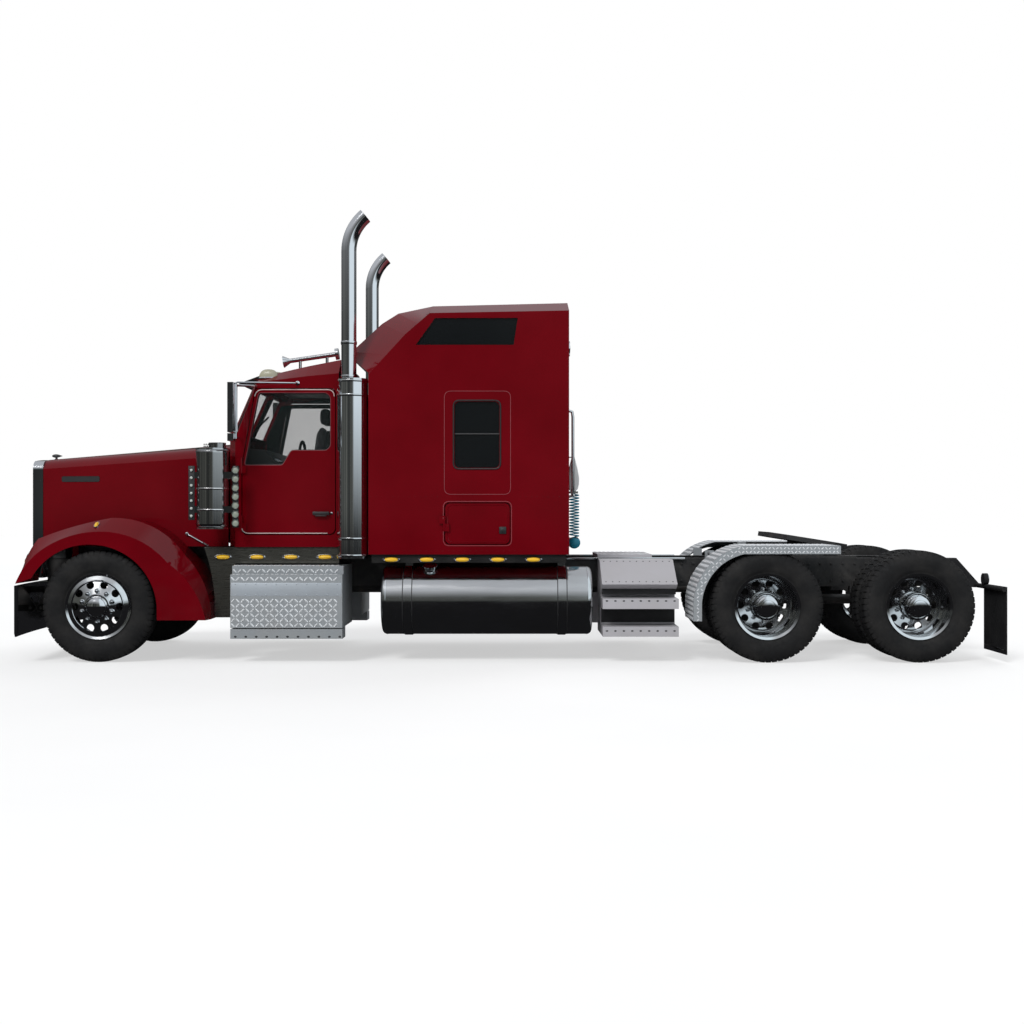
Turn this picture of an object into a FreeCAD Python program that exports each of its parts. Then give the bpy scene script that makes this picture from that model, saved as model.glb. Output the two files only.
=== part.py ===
import FreeCAD, Part
import math
import operator
import os

import Sketcher
from FreeCAD import Placement, Rotation, Vector

# Long-nose highway tractor unit with a high-roof sleeper, in millimetres.
# +X runs rearwards, -Y is the driver's side, +Z is up. The origin is on the ground,
# midway along the whole length.
SIZES = {
    # Stance
    "front_axle_x": -3698,
    "wheelbase": 6740,
    "tandem_spacing": 1372,
    "tyre_radius": 508,
    "running_gap": 0.3,
    "panel_gap": 8,
    "overrun": 20,
    # Frame
    "frame_half_width": 432,
    "rail_top": 924,
    "rail_height": 270,
    "rail_flange": 89,
    "rail_wall": 9,
    "frame_front_overhang": 685,
    "frame_rear_overhang": 572,
    "crossmember_height": 190,
    "crossmember_width": 76,
    "hanger_drop": 215,
    "hanger_pipe_radius": 22,
    # Bumper
    "bumper_overhang": 812,
    "bumper_bow": 78,
    "bumper_half_width": 1220,
    "bumper_bottom": 235,
    "bumper_height": 464,
    "bumper_wall": 10,
    "bumper_return": 34,
    "bumper_corner": 40,
    "bumper_bracket_width": 60,
    "bumper_bracket_inset": 12,
    "tow_hook_reach": 60,
    "tow_hook_height": 90,
    "tow_hook_drop": 150,
    # Hood tilt pivot
    "pivot_setback": 70,
    "pivot_height": 450,
    "pivot_pin_radius": 14,
    "pivot_eye_radius": 34,
    "pivot_plate": 12,
    "arm_wall": 20,
    "arm_gap": 6,
    "arm_leg": 300,
    "arm_width": 60,
    # Engine, gearbox and radiator
    "engine_setback": 380,
    "engine_length": 1250,
    "engine_width": 620,
    "engine_base": 700,
    "engine_height": 960,
    "gearbox_length": 900,
    "gearbox_width": 420,
    "gearbox_drop": 140,
    "gearbox_height": 465,
    "radiator_thick": 120,
    "radiator_setback": 60,
    "radiator_width": 880,
    "radiator_base": 800,
    "radiator_height": 950,
    "fan_hub_radius": 90,
    # Front axle
    "kingpin_half_track": 930,
    "beam_drop": 90,
    "beam_height": 95,
    "beam_width": 90,
    "beam_seat_half": 560,
    "beam_rise": 130,
    "kingpin_radius": 24,
    "knuckle_width": 110,
    "knuckle_height": 190,
    "knuckle_thick": 70,
    "kingpin_boss_radius": 30,
    "knuckle_slot_share": 0.34,
    "spindle_radius": 62,
    "front_hub_face": 1000,
    "spring_length": 1320,
    "spring_width": 90,
    "spring_height": 58,
    "spring_eye_height": 130,
    # Front wheels and tyres
    "front_track_half": 1022,
    "tyre_width": 290,
    "tread_width": 236,
    "shoulder_drop": 26,
    "sidewall_height": 360,
    "rim_radius": 288,
    "rim_width": 214,
    "rim_flange_radius": 299,
    "rim_flange_wall": 12,
    "rim_wall": 12,
    "front_disc_offset": 148,
    "disc_wall": 16,
    "disc_root_radius": 244,
    "front_hub_radius": 118,
    "front_hub_stand": 20,
    "front_cap_radius": 84,
    "front_cap_stand": 22,
    "hand_hole_radius": 35,
    "hand_hole_circle": 203,
    # Rear wheels and axles
    "rear_outer_face": 1220,
    "dual_spacing": 330,
    "rear_hub_radius": 122,
    "rear_cap_radius": 92,
    "rear_cap_inset": 26,
    "rear_cap_stand": 60,
    "axle_tube_radius": 66,
    "bowl_radius": 205,
    "bowl_width": 240,
    "brake_radius": 205,
    "brake_width": 150,
    "drive_shaft_radius": 48,
    "drive_shaft_rise": 112,
    "suspension_arm_height": 70,
    "suspension_arm_width": 78,
    "air_spring_radius": 120,
    "air_spring_offset": 330,
    "hanger_bracket_length": 200,
    # Cab
    "cab_setback": 1128,
    "cab_length": 1030,
    "cab_half_width": 965,
    "cab_nose_half_width": 800,
    "cab_nose_depth": 80,
    "cab_bottom": 1042,
    "cowl_height": 990,
    "screen_rake": 230,
    "screen_top": 2560,
    "brow_rise": 56,
    "brow_run": 52,
    "roof_front_run": 446,
    "roof_front_rise": 102,
    "roof_rear": 2777,
    "roof_side_drop": 62,
    "roof_side_rear_drop": 140,
    "cab_wall": 50,
    "floor_wall": 60,
    "door_front_inset": 137,
    "door_rear_inset": 26,
    "door_bottom": 1152,
    "door_top": 2501,
    "door_thick": 48,
    "door_corner": 55,
    "hinge_radius": 12,
    "hinge_stand": 13,
    "hinge_height": 70,
    "hinge_leaf": 46,
    "hinge_low_share": 0.03,
    "hinge_high_share": 0.42,
    "handle_length": 130,
    "handle_height": 30,
    "handle_stand": 34,
    "handle_inset": 70,
    "handle_level": 1335,
    "window_rear_inset": 48,
    "window_top_inset": 42,
    "window_sill": 1928,
    "window_front_sill": 1792,
    "window_front_inset": 18,
    "window_front_rake": 130,
    "window_dip_front": 350,
    "window_dip_run": 82,
    "window_chamfer": 40,
    "glass_thick": 6,
    "screen_post": 45,
    "screen_side_inset": 60,
    "screen_low_inset": 60,
    "screen_high_inset": 60,
    "tunnel_half_width": 450,
    "tunnel_bottom": 1180,
    "tunnel_top": 2300,
    # Cab inside
    "seat_width": 520,
    "seat_depth": 480,
    "seat_base": 380,
    "seat_cushion": 130,
    "seat_back_height": 700,
    "seat_back_thick": 130,
    "seat_back_rake": 90,
    "seat_centre": 470,
    "seat_rear_gap": 60,
    "head_rest_height": 170,
    "head_rest_width": 260,
    "dash_depth": 330,
    "dash_height": 430,
    "dash_top": 1960,
    "dash_slope": 150,
    "wheel_rim_radius": 228,
    "wheel_rim_tube": 15,
    "column_radius": 36,
    "column_length": 330,
    "wheel_drop": 150,
    # Sleeper
    "sleeper_gap": 295,
    "sleeper_length": 1810,
    "sleeper_half_width": 1200,
    "sleeper_shoulder": 800,
    "sleeper_bottom": 980,
    "sleeper_wall": 42,
    "nose_start": 2700,
    "nose_reach": 197,
    "nose_chin": 90,
    "nose_face": 60,
    "brow_top_run": 285,
    "brow_top_rise": 262,
    "cap_run": 152,
    "cap_rise": 95,
    "crown_run": 323,
    "crown_rise": 68,
    "sleeper_rear_top": 3305,
    "side_crease_start": 2603,
    "side_crease_run": 331,
    "side_crease_rise": 362,
    "side_crease_top_run": 553,
    "side_crease_top": 3157,
    "side_rear_top": 3180,
    "sleeper_window_front": 777,
    "sleeper_window_width": 404,
    "sleeper_window_bottom": 1761,
    "sleeper_window_height": 598,
    "sleeper_window_corner": 45,
    "loft_window_front": 427,
    "loft_window_length": 920,
    "loft_window_bottom": 2870,
    "loft_window_height": 243,
    "loft_window_rake": 174,
    "loft_window_tail": 37,
    "roof_window_post": 40,
    "roof_window_half_width": 700,
    "roof_window_margin": 45,
    "luggage_front": 685,
    "luggage_width": 597,
    "luggage_bottom": 1068,
    "luggage_height": 381,
    "luggage_corner": 45,
    "luggage_lock_radius": 26,
    "luggage_lock_stand": 10,
    "luggage_lock_inset": 70,
    # Hood
    "hood_front_setback": 118,
    "hood_front_half_width": 546,
    "hood_rear_half_width": 778,
    "hood_front_top_half": 430,
    "hood_rear_top_half": 610,
    "hood_bottom": 1042,
    "hood_front_crease": 1770,
    "hood_front_top": 1856,
    "hood_rear_crease": 1885,
    "hood_rear_top": 1985,
    "hood_rear_gap": 20,
    "hood_wall": 22,
    "hood_shoulder_arc": 190,
    "hood_crown_arc": 4200,
    # Grille
    "grille_setback": 23,
    "grille_depth": 95,
    "grille_half_width": 552,
    "grille_bottom": 740,
    "grille_top": 1850,
    "grille_crown": 30,
    "grille_border": 75,
    "grille_corner": 90,
    "grille_bar_width": 22,
    "grille_bar_depth": 40,
    "grille_bar_pitch": 62,
    "grille_bar_inset": 20,
    # Front fenders
    "fender_inner": 600,
    "fender_mid": 1060,
    "fender_outer": 1200,
    "fender_wall": 14,
    "fender_bottom": 386,
    "fender_front_bottom": 716,
    "fender_front_reach": 732,
    "fender_brow_reach": 569,
    "fender_brow_height": 1119,
    "fender_crown_offset": 101,
    "fender_crown": 1309,
    "fender_hip_reach": 770,
    "fender_hip": 969,
    "fender_tail_reach": 1006,
    "fender_front_arc": 700,
    "fender_brow_arc": 3300,
    "fender_back_arc": 780,
    "fender_tail_arc": 830,
    "bulge_brow_reach": 533,
    "bulge_brow_height": 992,
    "bulge_crown": 1185,
    "bulge_hip_reach": 640,
    "bulge_hip": 905,
    "bulge_tail_reach": 985,
    "bulge_brow_arc": 900,
    "arch_front_reach": 587,
    "arch_front_height": 766,
    "arch_top": 1066,
    "arch_rear_reach": 545,
    "arch_arc": 600,
    "headlamp_width": 210,
    "headlamp_height": 170,
    "headlamp_depth": 190,
    "headlamp_front_reach": 752,
    "headlamp_centre": 800,
    "headlamp_level": 862,
    "headlamp_corner": 30,
    "headlamp_post": 26,
    "turn_lamp_width": 60,
    "turn_lamp_height": 50,
    # Air cleaners and lamp panels
    "cleaner_x_from_cab": 113,
    "cleaner_radius": 150,
    "cleaner_offset": 1050,
    "cleaner_bottom": 1208,
    "cleaner_height": 740,
    "cleaner_cap_height": 46,
    "cleaner_neck_radius": 78,
    "cleaner_bracket": 60,
    "cleaner_bracket_wall": 16,
    "lamp_panel_width": 56,
    "lamp_panel_wall": 12,
    "lamp_panel_bottom": 1222,
    "lamp_panel_height": 560,
    "lamp_panel_reach": 1132,
    "lamp_strip_lead": 47,
    "lamp_strip_bottom": 1290,
    # Mirrors
    "mirror_x_from_cab": 100,
    "mirror_offset": 1210,
    "mirror_width": 190,
    "mirror_depth": 52,
    "mirror_bottom": 2078,
    "mirror_height": 448,
    "mirror_gap": 10,
    "convex_height": 68,
    "mirror_arm_radius": 11,
    # Roof fittings
    "visor_reach": 190,
    "visor_drop": 70,
    "visor_wall": 8,
    "visor_half_width": 850,
    "beacon_radius": 90,
    "beacon_height": 76,
    "beacon_offset": 420,
    "horn_run": 175,
    "horn_offset": 560,
    "horn_height": 167,
    "horn_length": 492,
    "horn_climb": 72,
    "horn_radius": 22,
    "horn_bell_radius": 57,
    "horn_bell_length": 64,
    "horn_drum_radius": 54,
    "horn_drum_length": 33,
    "horn_post": 14,
    # Exhausts
    "stack_offset": 1080,
    "stack_x_from_cab": 106,
    "stack_radius": 69,
    "stack_wall": 5,
    "stack_top": 4110,
    "stack_bend_radius": 420,
    "muffler_radius": 140,
    "muffler_x_from_cab": 139,
    "muffler_bottom": 940,
    "muffler_height": 1633,
    "exhaust_elbow_level": 1012,
    "exhaust_pipe_radius": 60,
    # Step boxes
    "tool_box_setback": 84,
    "tool_box_length": 1008,
    "box_outer": 1220,
    "tool_box_bottom": 319,
    "tool_box_shelf": 800,
    "tool_box_top": 875,
    "tool_box_step_inset": 90,
    "low_step_height": 88,
    "low_step_gap": 10,
    "low_step_depth": 240,
    "rear_box_x": 868,
    "rear_box_length": 684,
    "rear_box_top": 918,
    "rear_box_shoulder": 706,
    "rear_box_top_inset": 480,
    "rear_box_step_inset": 100,
    "rear_step_upper": 580,
    "rear_step_board": 90,
    "rear_step_lower": 330,
    "rear_step_depth": 330,
    "deck_length": 518,
    "deck_wall": 34,
    # Fuel tanks
    "tank_radius": 311,
    "tank_length": 1915,
    "tank_setback": 108,
    "tank_offset": 900,
    "tank_level": 551,
    "tank_end_round": 40,
    "strap_wall": 8,
    "strap_width": 70,
    "strap_front": 240,
    "strap_rear": 273,
    "bracket_height": 420,
    # Skirts and lamps
    "skirt_wall": 14,
    "skirt_strip": 150,
    "skirt_front_bottom": 394,
    "skirt_side": 950,
    "skirt_gap": 14,
    "sleeper_skirt_height": 76,
    "sleeper_skirt_inset": 26,
    "marker_length": 110,
    "marker_height": 40,
    "marker_stand": 16,
    "marker_drop": 92,
    "sleeper_marker_drop": 46,
    "marker_cab_pitch": 312,
    "marker_sleeper_pitch": 321,
    "marker_sleeper_start": 204,
    "marker_end_inset": 130,
    "tail_lamp_radius": 55,
    "tail_lamp_depth": 40,
    "tail_lamp_level": 735,
    "tail_lamp_offset": 700,
    # Quarter fenders
    "quarter_inner": 600,
    "quarter_wall": 6,
    "quarter_top": 1060,
    "quarter_lip": 76,
    "quarter_bottom": 379,
    "quarter_leg_reach": 672,
    "quarter_knee_height": 541,
    "quarter_arc": 560,
    "quarter_flat_reach": 210,
    "quarter_rear_reach": 655,
    "quarter_pipe_radius": 22,
    "quarter_pipe_front": 420,
    "quarter_pipe_level": 975,
    "quarter_pipe_rear": 30,
    # Mud flaps
    "flap_inner": 600,
    "flap_outer": 1215,
    "flap_bottom": 75,
    "flap_wall": 8,
    "flap_top": 688,
    "flap_reach": 782,
    # Fifth wheel
    "coupling_ahead": 150,
    "coupling_half_width": 457,
    "coupling_length": 760,
    "coupling_plate": 46,
    "coupling_skirt": 60,
    "coupling_skirt_wall": 22,
    "coupling_front_share": 0.5,
    "coupling_top": 1112,
    "throat_radius": 46,
    "throat_mouth": 300,
    "trunnion_radius": 26,
    "trunnion_height": 1012,
    "coupling_foot_round": 40,
    "trunnion_half": 330,
    "coupling_foot_length": 300,
    "coupling_foot_wall": 40,
    "coupling_base_wall": 22,
    "coupling_base_length": 900,
    "coupling_chamfer": 150,
    # Air lines
    "air_line_radius": 50,
    "coupler_height": 60,
    "coupler_width": 70,
    "air_bracket_wall": 20,
    "air_line_top": 1540,
    "air_line_bottom": 1120,
    "air_line_out": 80,
    "air_line_offset": 420,
}

doc = FreeCAD.newDocument("tractor_unit")
sheet = doc.addObject("Spreadsheet::Sheet", "Sizes")
for row, (alias, number) in enumerate(SIZES.items(), 1):
    sheet.set(f"A{row}", alias)
    sheet.set(f"B{row}", str(number))
    sheet.setAlias(f"B{row}", alias)
doc.recompute()


class Size(float):
    """A number that remembers the sheet formula it comes from."""

    def __new__(cls, number, text):
        size = super().__new__(cls, number)
        size.text = text
        return size


def formula(value):
    return value.text if isinstance(value, Size) else repr(float(value))


def arithmetic(sign, work):
    def forward(a, b):
        return Size(work(float(a), float(b)), f"({formula(a)} {sign} {formula(b)})")

    return forward, lambda a, b: forward(b, a)


for name, sign, work in (
    ("add", "+", operator.add),
    ("sub", "-", operator.sub),
    ("mul", "*", operator.mul),
    ("truediv", "/", operator.truediv),
):
    forward, reflected = arithmetic(sign, work)
    setattr(Size, f"__{name}__", forward)
    setattr(Size, f"__r{name}__", reflected)
Size.__neg__ = lambda a: 0 - a


class Named:
    """Each cell of the sheet as an attribute."""

    def __init__(self):
        for alias, number in SIZES.items():
            setattr(self, alias, Size(number, f"Sizes.{alias}"))


D = Named()
ZERO = 0.0
LEFT, RIGHT = -1, 1
HAND_HOLES = 10
BRACKET_SHARES = (0.2, 0.62)
BEACON_SHARE = 0.16
HORN_POST_SHARES = (0.75, 0.47)
STACK_BEND_DEGREES = 50
COUPLING_REST_DEGREES = 9
PLANES = {"XY": 1, "XZ": -1, "YZ": 1}
NODES = {}


def node(label, solid):
    """Names a finished sub-part."""
    solid.Label = label
    NODES[label] = solid
    return solid


def bind(obj, **values):
    for prop, value in values.items():
        obj.setExpression(prop, formula(value))


def place(obj, x, y, z):
    for axis, value in zip("xyz", (x, y, z)):
        obj.setExpression(f"Placement.Base.{axis}", formula(value))


def box(x, y, z):
    """A block between low and high values along each axis."""
    solid = doc.addObject("Part::Box", "Block")
    bind(solid, Length=x[1] - x[0], Width=y[1] - y[0], Height=z[1] - z[0])
    place(solid, x[0], y[0], z[0])
    return solid


TURNS = {"X": Rotation(Vector(0, 1, 0), 90), "Y": Rotation(Vector(1, 0, 0), -90), "Z": Rotation()}


def rod(axis, start, length, radius, end_radius=None):
    """A round bar, or a cone, from a start point along an axis."""
    kind = "Part::Cylinder" if end_radius is None else "Part::Cone"
    solid = doc.addObject(kind, "Bar")
    solid.Placement = Placement(Vector(), TURNS[axis])
    if end_radius is None:
        bind(solid, Radius=radius, Height=length)
    else:
        bind(solid, Radius1=radius, Radius2=end_radius, Height=length)
    place(solid, *start)
    return solid


def strut(start, end, radius, end_radius=None):
    """A round bar, or a cone, between two points."""
    span = [b - a for a, b in zip(start, end)]
    square = span[0] * span[0] + span[1] * span[1] + span[2] * span[2]
    length = Size(math.sqrt(square), f"sqrt({formula(square)})")
    solid = rod("Z", start, length, radius, end_radius)
    solid.Placement = Placement(Vector(), Rotation(Vector(0, 0, 1), Vector(*map(float, span))))
    place(solid, *start)
    return solid


def fuse(*solids):
    joined = doc.addObject("Part::MultiFuse", "Joined")
    joined.Shapes = list(solids)
    return joined


def group(*solids):
    kept = doc.addObject("Part::Compound", "Group")
    kept.Links = list(solids)
    return kept


def cut(base, *tools):
    left = doc.addObject("Part::Cut", "Cut")
    left.Base = base
    left.Tool = tools[0] if len(tools) == 1 else fuse(*tools)
    return left


def common(*solids):
    shared = doc.addObject("Part::MultiCommon", "Shared")
    shared.Shapes = list(solids)
    return shared


def mirrored(solid):
    """The same piece on the other side of the truck."""
    twin = doc.addObject("Part::Mirroring", "Twin")
    twin.Source = solid
    twin.Normal = Vector(0, 1, 0)
    return twin


def pair(solid):
    return group(solid, mirrored(solid))


def arc_between(a, b, radius):
    """The arc from a to b that turns left for a positive radius and right for a negative one."""
    half = (b - a) * 0.5
    side = 1 if radius > 0 else -1
    rise = math.sqrt(max(radius * radius - half.Length * half.Length, 0))
    centre = a + half + Vector(-half.y, half.x, 0).normalize() * rise * side
    first, last = (a, b) if radius > 0 else (b, a)
    angles = [math.atan2(p.y - centre.y, p.x - centre.x) for p in (first, last)]
    return Part.ArcOfCircle(Part.Circle(centre, Vector(0, 0, 1), abs(radius)), *angles)


def sketch(body, plane, points, at):
    """A closed outline. A point with a third value starts an arc of that radius."""
    outline = body.newObject("Sketcher::SketchObject", "Outline")
    origin = body.Origin.OriginFeatures
    outline.AttachmentSupport = [(next(f for f in origin if f.Role == f"{plane}_Plane"), "")]
    outline.MapMode = "FlatFace"
    outline.setExpression("AttachmentOffset.Base.z", formula(PLANES[plane] * at))
    corners = [Vector(float(p[0]), float(p[1]), 0) for p in points]
    lines, ends, rules = [], [], []
    for i, point in enumerate(points):
        a, b = corners[i], corners[(i + 1) % len(points)]
        if len(point) == 3:
            lines.append(arc_between(a, b, float(point[2])))
            ends.append((1, 2) if point[2] > 0 else (2, 1))
        else:
            lines.append(Part.LineSegment(a, b))
            ends.append((1, 2))
    outline.addGeometry(lines, False)
    for i, point in enumerate(points):
        after = (i + 1) % len(points)
        rules.append((Sketcher.Constraint("Coincident", i, ends[i][1], after, ends[after][0]), None))
        for kind, value in zip(("DistanceX", "DistanceY"), point):
            rules.append((Sketcher.Constraint(kind, i, ends[i][0], float(value)), value))
        if len(point) == 3:
            size = point[2] if point[2] > 0 else -point[2]
            rules.append((Sketcher.Constraint("Radius", i, float(size)), size))
    outline.addConstraint([rule for rule, value in rules])
    for i, (rule, value) in enumerate(rules):
        if value is not None:
            outline.setExpression(f"Constraints[{i}]", formula(value))
    return outline


def prism(plane, points, low, high):
    """A body whose outline is padded between two levels along the plane's own axis."""
    body = doc.addObject("PartDesign::Body", "Prism")
    pad = body.newObject("PartDesign::Pad", "Pad")
    pad.Profile = sketch(body, plane, points, high if plane == "XZ" else low)
    bind(pad, Length=high - low)
    return body


def loft(plane, sections):
    """A body lofted with straight rulings through outlines at rising levels."""
    body = doc.addObject("PartDesign::Body", "Loft")
    outlines = [sketch(body, plane, points, at) for at, points in sections]
    skin = body.newObject("PartDesign::AdditiveLoft", "Skin")
    skin.Profile = outlines[0]
    skin.Sections = outlines[1:]
    skin.Ruled = True
    return body


def turned(points):
    """A body revolved about the Y axis from points of (distance along Y, radius)."""
    body = doc.addObject("PartDesign::Body", "Turned")
    outline = sketch(body, "YZ", points, ZERO)
    around = body.newObject("PartDesign::Revolution", "Revolution")
    around.Profile = outline
    around.ReferenceAxis = (outline, ["H_Axis"])
    around.Angle = 360
    return body


def rounded(solid, radius, pick):
    """Fillets the edges of a finished solid that the test picks."""
    doc.recompute()
    soft = doc.addObject("Part::Fillet", "Rounded")
    soft.Base = solid
    chosen = [i for i, edge in enumerate(solid.Shape.Edges, 1) if pick(edge)]
    soft.Edges = [(i, float(radius), float(radius)) for i in chosen]
    return soft


def along(edge, axis):
    """Whether an edge runs along an axis."""
    spread = [edge.BoundBox.XLength, edge.BoundBox.YLength, edge.BoundBox.ZLength]
    longest = spread.pop(axis)
    return max(spread) < longest / 1000


# Places that follow from the driving sizes
axle_x = D.front_axle_x
bumper_x = axle_x - D.bumper_overhang
pivot_x = bumper_x + D.pivot_setback
hood_x = bumper_x + D.hood_front_setback
cab_x = axle_x + D.cab_setback
cab_rear_x = cab_x + D.cab_length
sleeper_x = cab_rear_x + D.sleeper_gap
sleeper_rear_x = sleeper_x + D.sleeper_length
tandem_x = axle_x + D.wheelbase
rear_axles_x = (tandem_x - D.tandem_spacing / 2, tandem_x + D.tandem_spacing / 2)
frame_front_x = axle_x - D.frame_front_overhang
frame_rear_x = rear_axles_x[1] + D.frame_rear_overhang
rail_bottom = D.rail_top - D.rail_height
web_inside = D.frame_half_width - D.rail_wall
door_front_x = cab_x + D.door_front_inset
door_rear_x = cab_rear_x - D.door_rear_inset
pivot_side = D.frame_half_width + D.pivot_plate
CROSSMEMBER_SHARES = (0.005, 0.295, 0.41, 0.53, 0.65, 0.735, 0.81, 0.87, 0.985)


def hood_pivot():
    """The plate on a frame horn with the pin that the hood tilts on."""
    plate = prism(
        "XZ",
        [
            (pivot_x - D.pivot_eye_radius, D.pivot_height - D.pivot_eye_radius),
            (pivot_x + D.pivot_eye_radius, D.pivot_height - D.pivot_eye_radius),
            (frame_front_x + D.arm_leg, rail_bottom + D.rail_wall),
            (frame_front_x + D.arm_leg, D.rail_top - D.rail_wall),
            (frame_front_x, D.rail_top - D.rail_wall),
            (frame_front_x, rail_bottom - D.rail_wall),
            (pivot_x - D.pivot_eye_radius, D.pivot_height + D.pivot_eye_radius),
        ],
        -pivot_side,
        -D.frame_half_width,
    )
    pin = rod(
        "Y",
        (pivot_x, -pivot_side - D.arm_gap - D.arm_wall, D.pivot_height),
        D.arm_gap + D.arm_wall + D.pivot_plate,
        D.pivot_pin_radius,
    )
    return fuse(plate, pin)


def make_frame():
    near, far = -D.frame_half_width, -D.frame_half_width + D.rail_flange
    web = near + D.rail_wall
    low, high = rail_bottom, D.rail_top
    channel = [
        (near, low),
        (far, low),
        (far, low + D.rail_wall),
        (web, low + D.rail_wall),
        (web, high - D.rail_wall),
        (far, high - D.rail_wall),
        (far, high),
        (near, high),
    ]
    rail = prism("YZ", channel, frame_front_x, frame_rear_x)
    node("frame_rails", pair(fuse(rail, hood_pivot())))
    reach = frame_rear_x - frame_front_x
    beams = []
    bottom = rail_bottom + (D.rail_height - D.crossmember_height) / 2
    top = bottom + D.crossmember_height
    for share in CROSSMEMBER_SHARES:
        x = frame_front_x + reach * share
        outline = [
            (x, bottom),
            (x + D.crossmember_width, bottom),
            (x + D.crossmember_width, bottom + D.rail_wall),
            (x + D.rail_wall, bottom + D.rail_wall),
            (x + D.rail_wall, top - D.rail_wall),
            (x + D.crossmember_width, top - D.rail_wall),
            (x + D.crossmember_width, top),
            (x, top),
        ]
        beams.append(prism("XZ", outline, -web_inside, web_inside))
    node("crossmembers", group(*beams))


def make_bumper():
    half, bow, wall = D.bumper_half_width, D.bumper_bow, D.bumper_wall
    arc = (half * half + bow * bow) / (2 * bow)
    end_x = bumper_x + bow
    blade = [
        (end_x, half, arc),
        (end_x, -half),
        (end_x + D.bumper_return, -half),
        (end_x + D.bumper_return, wall - half),
        (end_x + wall, wall - half, -(arc - wall)),
        (end_x + wall, half - wall),
        (end_x + D.bumper_return, half - wall),
        (end_x + D.bumper_return, half),
    ]
    top = D.bumper_bottom + D.bumper_height
    shell = prism("XY", blade, D.bumper_bottom, top)
    corner = D.bumper_corner
    trim = prism(
        "YZ",
        [
            (-half - wall, D.bumper_bottom - wall),
            (corner - half, D.bumper_bottom - wall),
            (-half - wall, D.bumper_bottom + corner + wall),
        ],
        end_x - bow,
        end_x + D.bumper_return + wall,
    )
    plate = cut(shell, trim, mirrored(trim))
    side = D.frame_half_width - D.bumper_bracket_inset
    sag = side * side / (2 * arc)
    back = bumper_x + sag + wall
    bracket = box(
        (back - D.strap_wall / 2, frame_front_x),
        (-side, D.bumper_bracket_width - side),
        (rail_bottom, D.bumper_bottom + D.bumper_height),
    )
    hook_low = rail_bottom - D.tow_hook_drop
    shank = box(
        (back - D.strap_wall / 2, back + D.tow_hook_reach),
        (-side, D.bumper_bracket_width - side),
        (hook_low, hook_low + D.tow_hook_height),
    )
    eye = rod(
        "Z",
        (back + D.tow_hook_reach / 2, D.bumper_bracket_width / 2 - side, hook_low - wall),
        D.tow_hook_height + 2 * wall,
        D.kingpin_radius,
    )
    hook = cut(shank, eye)
    node("bumper", fuse(plate, bracket, mirrored(bracket), hook, mirrored(hook)))


def make_engine():
    """Engine, gearbox and radiator as plain blocks joined by the fan hub."""
    front = axle_x - D.engine_setback
    rear = front + D.engine_length
    half = D.engine_width / 2
    top = D.engine_base + D.engine_height
    engine = box((front, rear), (-half, half), (D.engine_base, top))
    gear_half = D.gearbox_width / 2
    gearbox = box(
        (rear, rear + D.gearbox_length),
        (-gear_half, gear_half),
        (D.engine_base - D.gearbox_drop, D.engine_base - D.gearbox_drop + D.gearbox_height),
    )
    core_x = hood_x + D.radiator_setback
    core_half = D.radiator_width / 2
    core = box(
        (core_x, core_x + D.radiator_thick),
        (-core_half, core_half),
        (D.rail_top + D.running_gap, D.radiator_base + D.radiator_height),
    )
    hub = rod(
        "X",
        (core_x + D.radiator_thick, ZERO, D.radiator_base + D.radiator_height / 2),
        front - core_x - D.radiator_thick,
        D.fan_hub_radius,
    )
    mount = box(
        (front + D.engine_setback, front + D.engine_setback + D.crossmember_width),
        (-web_inside, web_inside),
        (D.engine_base, D.engine_base + D.crossmember_width),
    )
    node("engine", fuse(engine, gearbox, core, hub, mount))


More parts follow.
